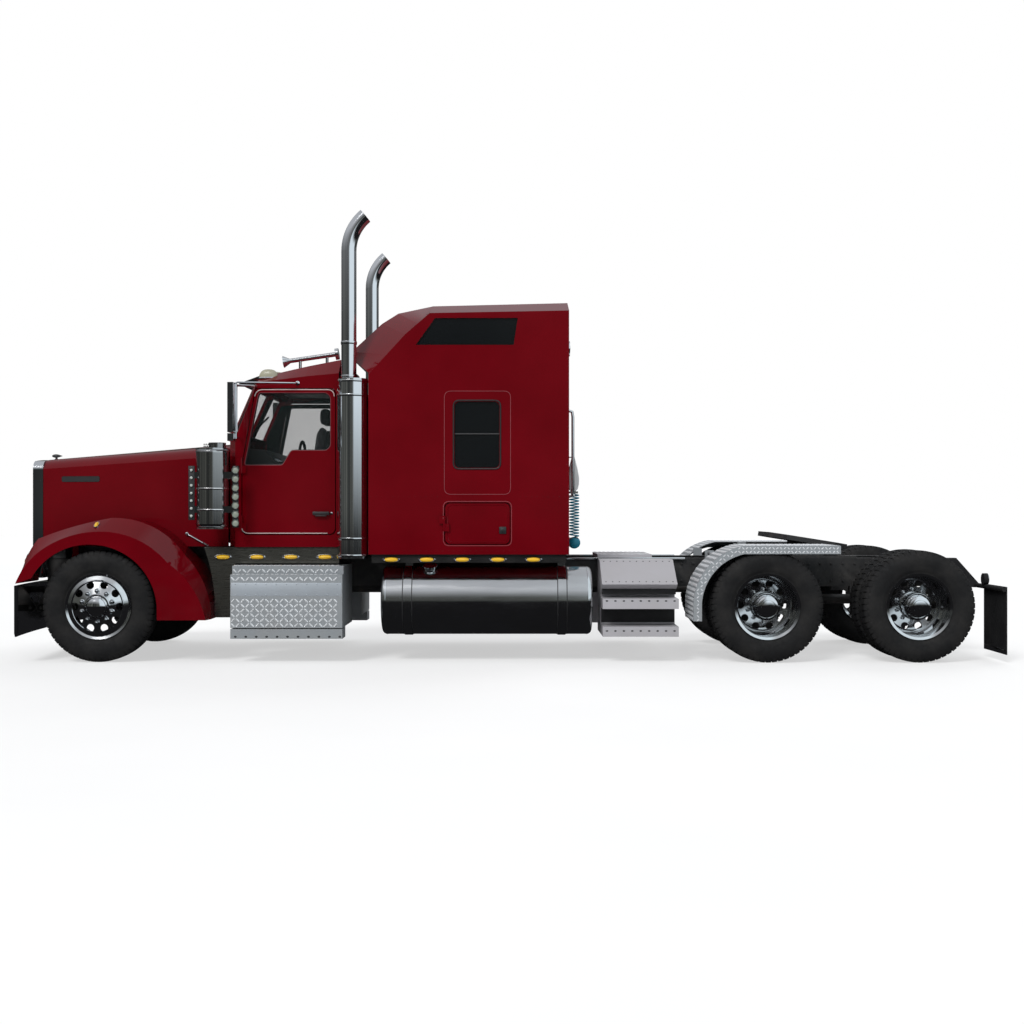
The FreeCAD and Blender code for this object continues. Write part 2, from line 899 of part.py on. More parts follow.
def make_front_axle():
    """Dropped beam between the kingpins, with its leaf springs."""
    low = D.tyre_radius - D.beam_drop - D.beam_height / 2
    end_low = D.tyre_radius - D.beam_height / 2
    seat, eye = D.beam_seat_half, D.kingpin_half_track - D.kingpin_boss_radius
    rise = D.beam_rise
    beam = prism(
        "YZ",
        [
            (-eye, end_low),
            (-seat - rise, end_low),
            (-seat, low),
            (seat, low),
            (seat + rise, end_low),
            (eye, end_low),
            (eye, end_low + D.beam_height),
            (seat + rise, end_low + D.beam_height),
            (seat, low + D.beam_height),
            (-seat, low + D.beam_height),
            (-seat - rise, end_low + D.beam_height),
            (-eye, end_low + D.beam_height),
        ],
        axle_x - D.beam_width / 2,
        axle_x + D.beam_width / 2,
    )
    half = D.spring_length / 2
    seat_z = low + D.beam_height
    eye_z = seat_z + D.spring_eye_height
    leaf = prism(
        "XZ",
        [
            (axle_x - half, eye_z),
            (axle_x, seat_z),
            (axle_x + half, eye_z),
            (axle_x + half, eye_z + D.spring_height / 2),
            (axle_x, seat_z + D.spring_height),
            (axle_x - half, eye_z + D.spring_height / 2),
        ],
        -D.frame_half_width,
        D.spring_width - D.frame_half_width,
    )
    saddle = box(
        (axle_x - D.beam_width, axle_x + D.beam_width),
        (-D.frame_half_width, D.spring_width - D.frame_half_width),
        (seat_z - D.strap_wall, seat_z + D.spring_height + D.strap_wall),
    )
    shackles = []
    for end in (-1, 1):
        x = axle_x + end * (half - D.spring_width / 2)
        shackles.append(
            box(
                (x - D.spring_width / 2, x + D.spring_width / 2),
                (-D.frame_half_width, D.spring_width - D.frame_half_width),
                (eye_z, rail_bottom),
            )
        )
    spring = fuse(leaf, saddle, *shackles)
    king_y = -D.kingpin_half_track
    neck = box(
        (axle_x - D.kingpin_boss_radius, axle_x + D.kingpin_boss_radius),
        (king_y, D.overrun - eye),
        (end_low, end_low + D.beam_height),
    )
    boss = rod("Z", (axle_x, king_y, end_low), D.beam_height, D.kingpin_boss_radius)
    kingpin = rod(
        "Z",
        (axle_x, king_y, D.tyre_radius - D.knuckle_height / 2),
        D.knuckle_height,
        D.kingpin_radius,
    )
    end = fuse(neck, boss, kingpin)
    node("front_axle", fuse(beam, spring, mirrored(spring), end, mirrored(end)))


def make_knuckles():
    """Yokes that swing on the kingpins and carry the front hubs."""
    half = D.knuckle_height / 2
    out = D.kingpin_half_track
    slot = D.beam_height / 2 + D.running_gap
    yoke_in = out - D.knuckle_width / 2
    yoke_out = out + D.knuckle_width / 2
    yoke = box(
        (axle_x - D.knuckle_thick / 2, axle_x + D.knuckle_thick / 2),
        (-yoke_out, -yoke_in),
        (D.tyre_radius - half, D.tyre_radius + half),
    )
    jaw = box(
        (axle_x - D.beam_width, axle_x + D.beam_width),
        (-out - D.knuckle_width * D.knuckle_slot_share, D.overrun - yoke_in),
        (D.tyre_radius - slot, D.tyre_radius + slot),
    )
    bore = rod(
        "Z",
        (axle_x, -out, D.tyre_radius - half - D.overrun),
        2 * (half + D.overrun),
        D.kingpin_radius + D.running_gap,
    )
    spindle = rod(
        "Y",
        (axle_x, -(D.front_hub_face - D.running_gap), D.tyre_radius),
        D.front_hub_face - D.running_gap - yoke_out + D.running_gap,
        D.spindle_radius,
    )
    knuckle = fuse(cut(yoke, jaw, bore), spindle)
    node("knuckle_left", knuckle)
    node("knuckle_right", mirrored(knuckle))


def tyre_outline(centre):
    """Section of a tyre about its middle plane, as distance along the axle and radius."""
    half, tread = D.tyre_width / 2, D.tread_width / 2
    bead, seat = D.rim_width / 2 - D.running_gap, D.rim_radius + D.running_gap
    flange = D.rim_flange_radius + D.running_gap
    shoulder = D.tyre_radius - D.shoulder_drop
    flank = D.sidewall_height
    return [
        (centre - bead, seat),
        (centre + bead, seat),
        (centre + bead, flange),
        (centre + half, flank),
        (centre + tread, shoulder),
        (centre + tread - D.shoulder_drop, D.tyre_radius),
        (centre - tread + D.shoulder_drop, D.tyre_radius),
        (centre - tread, shoulder),
        (centre - half, flank),
        (centre - bead, flange),
    ]


def barrel_outline(centre, disc_at, side):
    """Section of a rim whose dished disc stands out past its edge on one side."""
    half, wall = D.rim_width / 2, D.rim_wall
    edge = half + D.rim_flange_wall
    high, low = D.rim_flange_radius, D.rim_radius
    inner = low - wall
    near, far = centre + edge * side, centre - edge * side
    back = disc_at - D.disc_wall * side
    return [
        (far, inner),
        (far, high),
        (centre - half * side, high),
        (centre - half * side, low),
        (centre + half * side, low),
        (centre + half * side, high),
        (near, high),
        (near, inner),
        (disc_at, D.disc_root_radius),
        (disc_at, ZERO),
        (back, ZERO),
        (back, D.disc_root_radius),
        (near - 2 * wall * side, inner),
    ]


def hand_holes(low, high):
    """Round tools for the ring of hand holes in a wheel disc."""
    tools = []
    for i in range(HAND_HOLES):
        turn = 2 * math.pi * i / HAND_HOLES
        x = D.hand_hole_circle * math.cos(turn)
        z = D.hand_hole_circle * math.sin(turn)
        tools.append(rod("Y", (x, low, z), high - low, D.hand_hole_radius))
    return tools


def make_front_wheels():
    """Distances along Y are taken from the truck's middle, on the driver's side."""
    centre = -D.front_track_half
    tyre = turned(tyre_outline(centre))
    place(tyre, axle_x, ZERO, D.tyre_radius)
    disc_at = centre - D.front_disc_offset
    hub_low = disc_at - D.front_hub_stand
    rim = cut(
        turned(barrel_outline(centre, disc_at, LEFT)),
        *hand_holes(disc_at - D.overrun, disc_at + D.disc_wall + D.overrun),
    )
    hub = rod("Y", (ZERO, hub_low, ZERO), -D.front_hub_face - hub_low, D.front_hub_radius)
    cap_low = hub_low - D.front_cap_stand
    cap = rod("Y", (ZERO, cap_low, ZERO), hub_low + D.overrun - cap_low, D.front_cap_radius)
    wheel = fuse(rim, hub, cap)
    place(wheel, axle_x, ZERO, D.tyre_radius)
    node("front_tyre_left", tyre)
    node("front_tyre_right", mirrored(tyre))
    node("front_wheel_left", wheel)
    node("front_wheel_right", mirrored(wheel))


def make_rear_wheels():
    outer = D.tyre_width / 2 - D.rear_outer_face
    inner = outer + D.dual_spacing
    between = (outer + inner) / 2
    hub_low = D.rear_cap_inset - D.rear_outer_face
    hub_high = inner + D.rim_width / 2
    for axle, x in enumerate(rear_axles_x, 1):
        tyres = group(turned(tyre_outline(outer)), turned(tyre_outline(inner)))
        place(tyres, x, ZERO, D.tyre_radius)
        rims = fuse(
            turned(barrel_outline(outer, between, RIGHT)),
            turned(barrel_outline(inner, between, LEFT)),
        )
        reach = D.disc_wall + D.overrun
        pierced = cut(rims, *hand_holes(between - reach, between + reach))
        hub_start = hub_low + D.rear_cap_stand
        hub = rod("Y", (ZERO, hub_start, ZERO), hub_high - hub_start, D.rear_hub_radius)
        cap = rod("Y", (ZERO, hub_low, ZERO), D.rear_cap_stand + D.overrun, D.rear_cap_radius)
        wheels = fuse(pierced, hub, cap)
        place(wheels, x, ZERO, D.tyre_radius)
        node(f"rear_tyres_{axle}_left", tyres)
        node(f"rear_tyres_{axle}_right", mirrored(tyres))
        node(f"rear_wheels_{axle}_left", wheels)
        node(f"rear_wheels_{axle}_right", mirrored(wheels))


def make_rear_axles():
    hub_face = D.tyre_width / 2 - D.rear_outer_face + D.dual_spacing + D.rim_width / 2 + D.running_gap
    level = D.tyre_radius
    parts = []
    for x in rear_axles_x:
        parts.append(rod("Y", (x, hub_face, level), -2 * hub_face, D.axle_tube_radius))
        parts.append(rod("Y", (x, -D.bowl_width / 2, level), D.bowl_width, D.bowl_radius))
    first = rear_axles_x[0]
    parts.append(rod("X", (first, ZERO, level), D.tandem_spacing, D.drive_shaft_radius))
    gearbox_x = axle_x - D.engine_setback + D.engine_length + D.gearbox_length
    shaft_at = (gearbox_x, ZERO, level + D.drive_shaft_rise)
    parts.append(rod("X", shaft_at, first - gearbox_x, D.drive_shaft_radius))
    node("rear_axles", fuse(*parts))


def make_rear_suspension():
    """Trailing arms and air springs between each axle and the rails."""
    sets = []
    side = D.frame_half_width
    for x in rear_axles_x:
        low = D.tyre_radius + D.axle_tube_radius
        front = x - D.air_spring_offset
        rear = x + D.air_spring_offset
        arm = box(
            (front - D.air_spring_radius, rear + D.air_spring_radius / 2),
            (-side, D.suspension_arm_width - side),
            (low, low + D.suspension_arm_height - D.running_gap),
        )
        spring = rod(
            "Z",
            (rear, D.suspension_arm_width / 2 - side, low),
            rail_bottom - low,
            D.suspension_arm_width / 2,
        )
        post = box(
            (front - D.air_spring_radius, front - D.air_spring_radius + D.hanger_bracket_length / 2),
            (-side, D.suspension_arm_width - side),
            (low, rail_bottom),
        )
        sets.append(fuse(arm, spring, post))
    left = group(*sets)
    node("rear_suspension", pair(left))


def cab_sections(inset):
    """Side outlines of the cab from its middle out, pulled in by a wall."""
    front, rear = cab_x + inset, cab_rear_x - inset
    base = D.cab_bottom + inset
    cowl = D.cab_bottom + D.cowl_height
    screen_x = cab_x + D.screen_rake + inset
    screen_z = D.screen_top - inset
    brow_x, brow_z = screen_x + D.brow_run, screen_z + D.brow_rise
    roof_x, roof_z = brow_x + D.roof_front_run, brow_z + D.roof_front_rise
    middle = [
        (front, base),
        (rear, base),
        (rear, D.roof_rear - inset),
        (roof_x, roof_z),
        (brow_x, brow_z),
        (screen_x, screen_z),
        (front, cowl),
    ]
    back = D.cab_nose_depth
    drop = D.roof_side_drop
    side = [
        (front + back, base),
        (rear, base),
        (rear, D.roof_rear - inset - D.roof_side_rear_drop),
        (roof_x, roof_z - D.roof_side_rear_drop + D.roof_side_drop / 2),
        (brow_x, brow_z - drop),
        (screen_x + back / 2, screen_z - drop / 2),
        (front + back, cowl),
    ]
    return middle, side


def cab_solid(inset):
    middle, side = cab_sections(inset)
    wide = D.cab_half_width - inset
    nose = D.cab_nose_half_width - inset
    return loft("XZ", [(-wide, side), (-nose, middle), (nose, middle), (wide, side)])


def door_outline(gap):
    """The door's side outline with rounded lower corners, grown or shrunk by a gap."""
    corner = D.door_corner
    front, rear = door_front_x + gap, door_rear_x - gap
    low, high = D.door_bottom + gap, D.door_top - gap
    lean = D.door_front_inset / 2
    return [
        (front + corner, low),
        (rear - corner, low, corner),
        (rear, low + corner),
        (rear, high - corner, corner),
        (rear - corner, high),
        (front + lean + corner, high),
        (front, D.window_front_sill),
        (front, low + corner, corner),
    ]


def door_window():
    rear = door_rear_x - D.window_rear_inset
    top = D.door_top - D.window_top_inset
    front = door_front_x + D.window_front_inset + D.panel_gap
    dip = front + D.window_dip_front
    return [
        (front, D.window_front_sill),
        (dip, D.window_front_sill),
        (dip + D.window_dip_run, D.window_sill),
        (rear - D.window_chamfer, D.window_sill),
        (rear, D.window_sill + D.window_chamfer),
        (rear, top - D.window_chamfer),
        (rear - D.window_chamfer, top),
        (front + D.window_front_rake, top),
    ]


def screen_outline():
    """Side outline of the cut for the windscreen panes, along the sloping front."""
    cowl = D.cab_bottom + D.cowl_height
    rise = D.screen_top - cowl
    run = D.screen_rake
    low, high = cowl + D.screen_low_inset, D.screen_top - D.screen_high_inset
    low_x = cab_x + run * (low - cowl) / rise
    high_x = cab_x + run * (high - cowl) / rise
    reach = D.cab_wall * 2
    return [
        (low_x - reach, low),
        (low_x + reach, low),
        (high_x + reach, high),
        (high_x - reach, high),
    ]


def hinge_barrels(x, side, levels, carrier):
    """Hinge knuckles on a side wall: the carrier's above, the door's below."""
    y = -side - D.hinge_stand
    barrels = []
    for level in levels:
        z = level if carrier == "door" else level + D.hinge_height + D.running_gap
        low_x, high_x = (x, x + D.hinge_leaf) if carrier == "door" else (x - D.hinge_leaf, x)
        barrels.append(rod("Z", (x, y, z), D.hinge_height, D.hinge_radius))
        barrels.append(box((low_x, high_x), (y - D.hinge_stand / 2, -side), (z, z + D.hinge_height)))
    return barrels


def door_hinges(carrier):
    height = D.door_top - D.door_bottom
    levels = [D.door_bottom + height * share for share in (D.hinge_low_share, D.hinge_high_share)]
    return hinge_barrels(door_front_x, D.cab_half_width, levels, carrier)


def luggage_hinges(carrier):
    level = D.luggage_bottom + (D.luggage_height - 2 * D.hinge_height) / 2
    return hinge_barrels(sleeper_x + D.luggage_front, D.sleeper_half_width, [level], carrier)


def make_cab():
    shell = cut(cab_solid(ZERO), cab_solid(D.cab_wall))
    wide = D.cab_half_width
    doorway = prism("XZ", door_outline(ZERO), -wide - D.overrun, D.door_thick * 2 - wide)
    nose = D.cab_nose_half_width - D.screen_side_inset
    pane = prism("XZ", screen_outline(), -nose, -D.screen_post)
    tunnel = box(
        (cab_rear_x - D.cab_wall - D.overrun, cab_rear_x + D.overrun),
        (-D.tunnel_half_width, D.tunnel_half_width),
        (D.tunnel_bottom, D.tunnel_top),
    )
    open_shell = cut(shell, doorway, mirrored(doorway), pane, mirrored(pane), tunnel)
    hinges = fuse(*door_hinges("cab"))
    node("cab_shell", fuse(open_shell, hinges, mirrored(hinges)))


def make_doors():
    wide = D.cab_half_width
    slab = prism("XZ", door_outline(D.panel_gap), -wide, D.door_thick - wide)
    window = prism("XZ", door_window(), -wide - D.overrun, D.door_thick + D.overrun - wide)
    handle_x = door_rear_x - D.handle_inset - D.handle_length
    handle = box(
        (handle_x, handle_x + D.handle_length),
        (-wide - D.handle_stand, -wide),
        (D.handle_level, D.handle_level + D.handle_height),
    )
    door = cut(slab, window)
    middle = D.door_thick / 2 - wide
    glass = prism("XZ", door_window(), middle - D.glass_thick / 2, middle + D.glass_thick / 2)
    leaf = fuse(door, handle, *door_hinges("door"))
    node("cab_door_left", leaf)
    node("cab_door_right", mirrored(leaf))
    node("door_glass_left", glass)
    node("door_glass_right", mirrored(glass))


def make_cab_inside():
    """Floor-mounted seats, dashboard, steering column and wheel on one floor mat."""
    floor = D.cab_bottom + D.cab_wall
    mat_top = floor + D.skirt_wall
    wide = D.cab_half_width - D.cab_wall - D.door_thick
    dash_x = cab_x + D.cab_wall + D.cab_nose_depth
    mat = box((dash_x, cab_rear_x - D.cab_wall), (-wide, wide), (floor, mat_top))
    rear = cab_rear_x - D.cab_wall - D.seat_rear_gap
    parts = [mat]
    for side in (LEFT, RIGHT):
        low_y = side * D.seat_centre - D.seat_width / 2
        span = (low_y, low_y + D.seat_width)
        seat_top = mat_top + D.seat_base
        front = rear - D.seat_depth
        pad = D.seat_cushion
        parts.append(
            box((front + pad, rear - pad), (low_y + pad, low_y + D.seat_width - pad), (mat_top, seat_top))
        )
        parts.append(box((front, rear), span, (seat_top - pad, seat_top)))
        back = [
            (rear - D.seat_back_thick - D.seat_back_rake, seat_top),
            (rear - D.seat_back_rake, seat_top),
            (rear, seat_top + D.seat_back_height),
            (rear - D.seat_back_thick, seat_top + D.seat_back_height),
        ]
        parts.append(prism("XZ", back, *span))
        rest = side * D.seat_centre - D.head_rest_width / 2
        parts.append(
            box(
                (rear - D.seat_back_thick, rear),
                (rest, rest + D.head_rest_width),
                (seat_top + D.seat_back_height, seat_top + D.seat_back_height + D.head_rest_height),
            )
        )
    dash_rear = dash_x + D.dash_depth
    foot = dash_x + D.dash_slope / 2
    dash = prism(
        "XZ",
        [
            (dash_x, mat_top),
            (foot, mat_top),
            (foot, D.dash_top - D.dash_height),
            (dash_rear, D.dash_top - D.dash_height + D.dash_slope),
            (dash_rear - D.dash_slope, D.dash_top),
            (dash_x, D.dash_top),
        ],
        D.door_thick - wide,
        wide - D.door_thick,
    )
    wheel_z = D.dash_top - D.wheel_drop
    column = rod("X", (dash_rear - D.dash_slope, -D.seat_centre, wheel_z), D.column_length, D.column_radius)
    hub_x = dash_rear - D.dash_slope + D.column_length
    ring = doc.addObject("Part::Torus", "Ring")
    ring.Placement = Placement(Vector(), TURNS["X"])
    bind(ring, Radius1=D.wheel_rim_radius, Radius2=D.wheel_rim_tube)
    place(ring, hub_x - D.wheel_rim_tube, -D.seat_centre, wheel_z)
    tube = D.wheel_rim_tube
    spokes = []
    spokes.append(
        box(
            (hub_x - 2 * tube, hub_x),
            (-D.seat_centre - D.wheel_rim_radius, D.wheel_rim_radius - D.seat_centre),
            (wheel_z - tube, wheel_z + tube),
        )
    )
    node("cab_interior", fuse(*parts, dash, column, ring, *spokes))


def sleeper_sections(inset):
    """Side outlines of the sleeper at its shoulder and at its wall."""
    front, rear = sleeper_x + inset, sleeper_rear_x - inset
    base = D.sleeper_bottom + inset
    chin_x = sleeper_x - D.nose_reach + inset
    chin_z = D.nose_start + D.nose_chin + inset
    brow_x = chin_x + D.brow_top_run
    brow_z = chin_z + D.nose_face + D.brow_top_rise - 2 * inset
    cap_x, cap_z = brow_x + D.cap_run, brow_z + D.cap_rise
    crown_x, crown_z = cap_x + D.crown_run, cap_z + D.crown_rise
    shoulder = [
        (front, base),
        (rear, base),
        (rear, D.sleeper_rear_top - inset),
        (crown_x, crown_z),
        (cap_x, cap_z),
        (brow_x, brow_z),
        (chin_x, chin_z + D.nose_face),
        (chin_x, chin_z),
        (front, D.nose_start + inset),
    ]
    start_z = D.side_crease_start
    crease_x = front + D.side_crease_run
    crease_z = start_z + D.side_crease_rise - inset
    top_x = front + D.side_crease_top_run
    side = [
        (front, base),
        (rear, base),
        (rear, D.side_rear_top - inset),
        (top_x, D.side_crease_top - inset),
        ((crease_x + top_x) / 2, (crease_z + D.side_crease_top - inset) / 2),
        (crease_x, crease_z),
        ((front + crease_x) / 2, (start_z + crease_z) / 2),
        (front + inset / 2, start_z + inset / 2),
        (front, start_z),
    ]
    return shoulder, side


def sleeper_solid(inset):
    shoulder, side = sleeper_sections(inset)
    if isinstance(inset, float) and not isinstance(inset, Size):
        side[7] = (sleeper_x + D.rail_wall, D.side_crease_start + D.rail_wall)
    wide = D.sleeper_half_width - inset
    inner = D.sleeper_shoulder - inset
    return loft("XZ", [(-wide, side), (-inner, shoulder), (inner, shoulder), (wide, side)])


def rounded_rectangle(low_x, high_x, low_z, high_z, corner):
    return [
        (low_x + corner, low_z),
        (high_x - corner, low_z, corner),
        (high_x, low_z + corner),
        (high_x, high_z - corner, corner),
        (high_x - corner, high_z),
        (low_x + corner, high_z, corner),
        (low_x, high_z - corner),
        (low_x, low_z + corner, corner),
    ]


def luggage_outline(gap):
    front = sleeper_x + D.luggage_front + gap
    rear = sleeper_x + D.luggage_front + D.luggage_width - gap
    low, high = D.luggage_bottom + gap, D.luggage_bottom + D.luggage_height - gap
    return rounded_rectangle(front, rear, low, high, D.luggage_corner)


def sleeper_window():
    front = sleeper_x + D.sleeper_window_front
    low = D.sleeper_window_bottom
    return rounded_rectangle(
        front,
        front + D.sleeper_window_width,
        low,
        low + D.sleeper_window_height,
        D.sleeper_window_corner,
    )


def loft_window():
    front = sleeper_x + D.loft_window_front
    rear = front + D.loft_window_length
    low = D.loft_window_bottom
    high = low + D.loft_window_height
    return [
        (front, low),
        (rear - D.loft_window_tail, low),
        (rear, high),
        (front + D.loft_window_rake, high),
    ]


def roof_window(reach):
    """Side outline along the sleeper's sloping brow, reaching each way from its face."""
    chin_x = sleeper_x - D.nose_reach
    chin_z = D.nose_start + D.nose_chin + D.nose_face
    run, rise = D.brow_top_run, D.brow_top_rise
    margin = D.roof_window_margin
    low, high = margin / run, 1 - margin / run
    low_x, low_z = chin_x + run * low, chin_z + rise * low
    high_x, high_z = chin_x + run * high, chin_z + rise * high
    out, back = reach
    return [
        (low_x + back, low_z - back),
        (high_x + back, high_z - back),
        (high_x + out, high_z - out),
        (low_x + out, low_z - out),
    ]


def make_sleeper():
    shell = cut(sleeper_solid(ZERO), sleeper_solid(D.sleeper_wall))
    wide, wall, over = D.sleeper_half_width, D.sleeper_wall, D.overrun
    outside = (-wide - over, wall + over - wide)
    windows = [
        prism("XZ", sleeper_window(), *outside),
        prism("XZ", loft_window(), *outside),
        prism("XZ", luggage_outline(ZERO), *outside),
        prism("XZ", roof_window((-wall, wall * 2)), -D.roof_window_half_width, -D.roof_window_post),
    ]
    tunnel = box(
        (sleeper_x - over, sleeper_x + wall + over),
        (-D.tunnel_half_width, D.tunnel_half_width),
        (D.tunnel_bottom, D.tunnel_top),
    )
    openings = windows + [mirrored(window) for window in windows]
    hinges = fuse(*luggage_hinges("wall"))
    node("sleeper_shell", fuse(cut(shell, *openings, tunnel), hinges, mirrored(hinges)))
    half = D.tunnel_half_width
    outer_half = half + wall
    boot = cut(
        box(
            (cab_rear_x, sleeper_x),
            (-outer_half, outer_half),
            (D.tunnel_bottom - wall, D.tunnel_top + wall),
        ),
        box((cab_rear_x - over, sleeper_x + over), (-half, half), (D.tunnel_bottom, D.tunnel_top)),
    )
    node("sleeper_boot", boot)


def make_fixed_glass():
    wide, wall = D.sleeper_half_width, D.sleeper_wall
    thick = D.glass_thick
    middle = wall / 2 - wide
    span = (middle - thick / 2, middle + thick / 2)
    side_pane = prism("XZ", sleeper_window(), *span)
    loft_pane = prism("XZ", loft_window(), *span)
    brow_pane = prism(
        "XZ",
        roof_window((thick, thick * 2)),
        -D.roof_window_half_width,
        -D.roof_window_post,
    )
    low_front, low_rear, high_rear, high_front = screen_outline()
    reach = D.cab_wall * 2 - thick
    slide = reach - D.cab_wall / 2
    sheet = [
        (low_front[0] + slide, low_front[1]),
        (low_rear[0] - reach - thick, low_rear[1]),
        (high_rear[0] - reach - thick, high_rear[1]),
        (high_front[0] + slide, high_front[1]),
    ]
    nose = D.cab_nose_half_width - D.screen_side_inset
    screen = prism("XZ", [sheet[1], (sheet[1][0] + thick, sheet[1][1]),
                          (sheet[2][0] + thick, sheet[2][1]), sheet[2]], -nose, -D.screen_post)
    panes = [side_pane, loft_pane, brow_pane, screen]
    node("fixed_glass", group(*panes, *[mirrored(pane) for pane in panes]))


def make_luggage_doors():
    wide, wall = D.sleeper_half_width, D.sleeper_wall
    slab = prism("XZ", luggage_outline(D.panel_gap), -wide, wall - wide)
    lock_x = sleeper_x + D.luggage_front + D.luggage_width - D.luggage_lock_inset
    lock = rod(
        "Y",
        (lock_x, -wide - D.luggage_lock_stand, D.luggage_bottom + D.luggage_height / 3),
        D.luggage_lock_stand,
        D.luggage_lock_radius,
    )
    leaf = fuse(slab, lock, *luggage_hinges("door"))
    node("luggage_door_left", leaf)
    node("luggage_door_right", mirrored(leaf))


def hood_section(share, inset, sink):
    """Outline of the hood across the truck, part way from its front to its rear."""

    def blend(front, rear):
        return front + (rear - front) * share

    half = blend(D.hood_front_half_width, D.hood_rear_half_width) - inset
    flat = blend(D.hood_front_top_half, D.hood_rear_top_half) - inset / 2
    crease = blend(D.hood_front_crease, D.hood_rear_crease) - inset / 2
    top = blend(D.hood_front_top, D.hood_rear_top) - inset
    base = D.hood_bottom - sink
    return [
        (-half, base),
        (half, base),
        (half, crease, D.hood_shoulder_arc),
        (flat, top, D.hood_crown_arc),
        (-flat, top, D.hood_shoulder_arc),
        (-half, crease),
    ]


def hood_solid(inset, sink):
    rear_x = cab_x - D.hood_rear_gap
    return loft("YZ", [(hood_x, hood_section(0.0, inset, sink)), (rear_x, hood_section(1.0, inset, sink))])


def make_hood():
    shell = cut(hood_solid(ZERO, ZERO), hood_solid(D.hood_wall, D.overrun))
    eye = D.pivot_eye_radius
    leg = D.arm_leg
    low, high = D.pivot_height - D.arm_width / 2, D.pivot_height + D.arm_width / 2
    arm_top = D.hood_bottom + D.arm_width
    outline = [
        (pivot_x, low),
        (pivot_x + leg + D.arm_width, low),
        (pivot_x + leg + D.arm_width, arm_top),
        (pivot_x + leg, arm_top),
        (pivot_x + leg, high),
        (pivot_x, high),
    ]
    outer = pivot_side + D.arm_gap + D.arm_wall
    inner = pivot_side + D.arm_gap
    arm = prism("XZ", outline, -outer, -inner)
    boss = rod("Y", (pivot_x, -outer, D.pivot_height), D.arm_wall, eye)
    bore = rod(
        "Y",
        (pivot_x, -outer - D.overrun, D.pivot_height),
        D.arm_wall + 2 * D.overrun,
        D.pivot_pin_radius + D.running_gap,
    )
    bridge = box(
        (pivot_x + leg, pivot_x + leg + D.arm_width),
        (-D.hood_front_half_width - D.hood_wall / 2, -inner),
        (D.hood_bottom, arm_top),
    )
    arm_set = cut(fuse(arm, boss, bridge), bore)
    node("hood_shell", fuse(shell, arm_set, mirrored(arm_set)))


def grille_outline(inset):
    half = D.grille_half_width - inset
    corner = D.grille_corner
    low, high = D.grille_bottom + inset, D.grille_top - inset
    crown = D.grille_crown
    arc = (half * half + crown * crown) / (2 * crown)
    return [
        (-half, low),
        (half, low),
        (half, high - corner, corner),
        (half - corner, high, arc),
        (corner - half, high, corner),
        (-half, high - corner),
    ]


def make_grille():
    """Bright surround with its row of upright bars."""
    front, rear = bumper_x + D.grille_setback, hood_x
    frame = cut(
        prism("YZ", grille_outline(ZERO), front, rear),
        prism("YZ", grille_outline(D.grille_border), front - D.overrun, rear + D.overrun),
    )
    inner_half = D.grille_half_width - D.grille_border
    count = int(float(inner_half / D.grille_bar_pitch))
    low = D.grille_bottom + D.grille_border / 2
    high = D.grille_top - D.grille_border / 2
    bars = []
    bar_x = front + D.grille_bar_inset
    for i in range(-count, count + 1):
        y = D.grille_bar_pitch * i
        bars.append(
            box(
                (bar_x, bar_x + D.grille_bar_depth),
                (y - D.grille_bar_width / 2, y + D.grille_bar_width / 2),
                (low, high),
            )
        )
    node("grille", fuse(frame, *bars))


def fender_section(level, inset):
    """Side outline of a front fender at its inner edge, middle or outer edge."""
    front = axle_x - D.fender_front_reach + inset
    base = D.fender_bottom - (D.overrun if inset else ZERO)
    if level == "inner":
        brow = (axle_x - D.fender_brow_reach + inset, D.fender_brow_height - inset)
        crown = (axle_x + D.fender_crown_offset, D.fender_crown - inset)
        hip = (axle_x + D.fender_hip_reach - inset, D.fender_hip - inset)
        tail = axle_x + D.fender_tail_reach - inset
        arcs = (D.fender_front_arc, D.fender_brow_arc, D.fender_back_arc, D.fender_tail_arc)
    else:
        brow = (axle_x - D.bulge_brow_reach + inset, D.bulge_brow_height - inset)
        crown = (axle_x, D.bulge_crown - inset)
        hip = (axle_x + D.bulge_hip_reach - inset, D.bulge_hip - inset)
        tail = axle_x + D.bulge_tail_reach - inset
        arcs = (D.fender_front_arc, D.bulge_brow_arc, D.fender_back_arc, D.fender_tail_arc)
    return [
        (front, D.fender_front_bottom, -arcs[0]),
        (*brow, -arcs[1]),
        (*crown, -arcs[2]),
        (*hip, -arcs[3]),
        (tail, base),
        (front + D.fender_front_reach, base),
    ]


def fender_solid(inset):
    inner = D.fender_inner - (D.overrun if inset else ZERO)
    outer = D.fender_outer - inset
    middle = D.fender_mid - inset
    return loft(
        "XZ",
        [
            (-outer, fender_section("outer", inset)),
            (-middle, fender_section("inner", inset)),
            (-inner, fender_section("inner", inset)),
        ],
    )


def wheel_arch():
    """Side outline of what is cut away below a front fender's edge."""
    base = D.fender_bottom - D.overrun
    front = axle_x - D.fender_front_reach - D.overrun
    rear = axle_x + D.arch_rear_reach
    return [
        (front, base),
        (rear, base),
        (rear, D.tyre_radius, D.arch_arc),
        (axle_x, D.arch_top, D.arch_arc),
        (axle_x - D.arch_front_reach, D.arch_front_height),
        (front, D.fender_front_bottom - D.overrun / 3),
    ]


def make_fenders():
    skin = cut(fender_solid(ZERO), fender_solid(D.fender_wall))
    opening = prism("XZ", wheel_arch(), -D.fender_outer - D.overrun, -D.fender_inner + D.overrun)
    fender = cut(skin, opening, hood_solid(ZERO, ZERO))
    node("front_fenders", pair(fender))


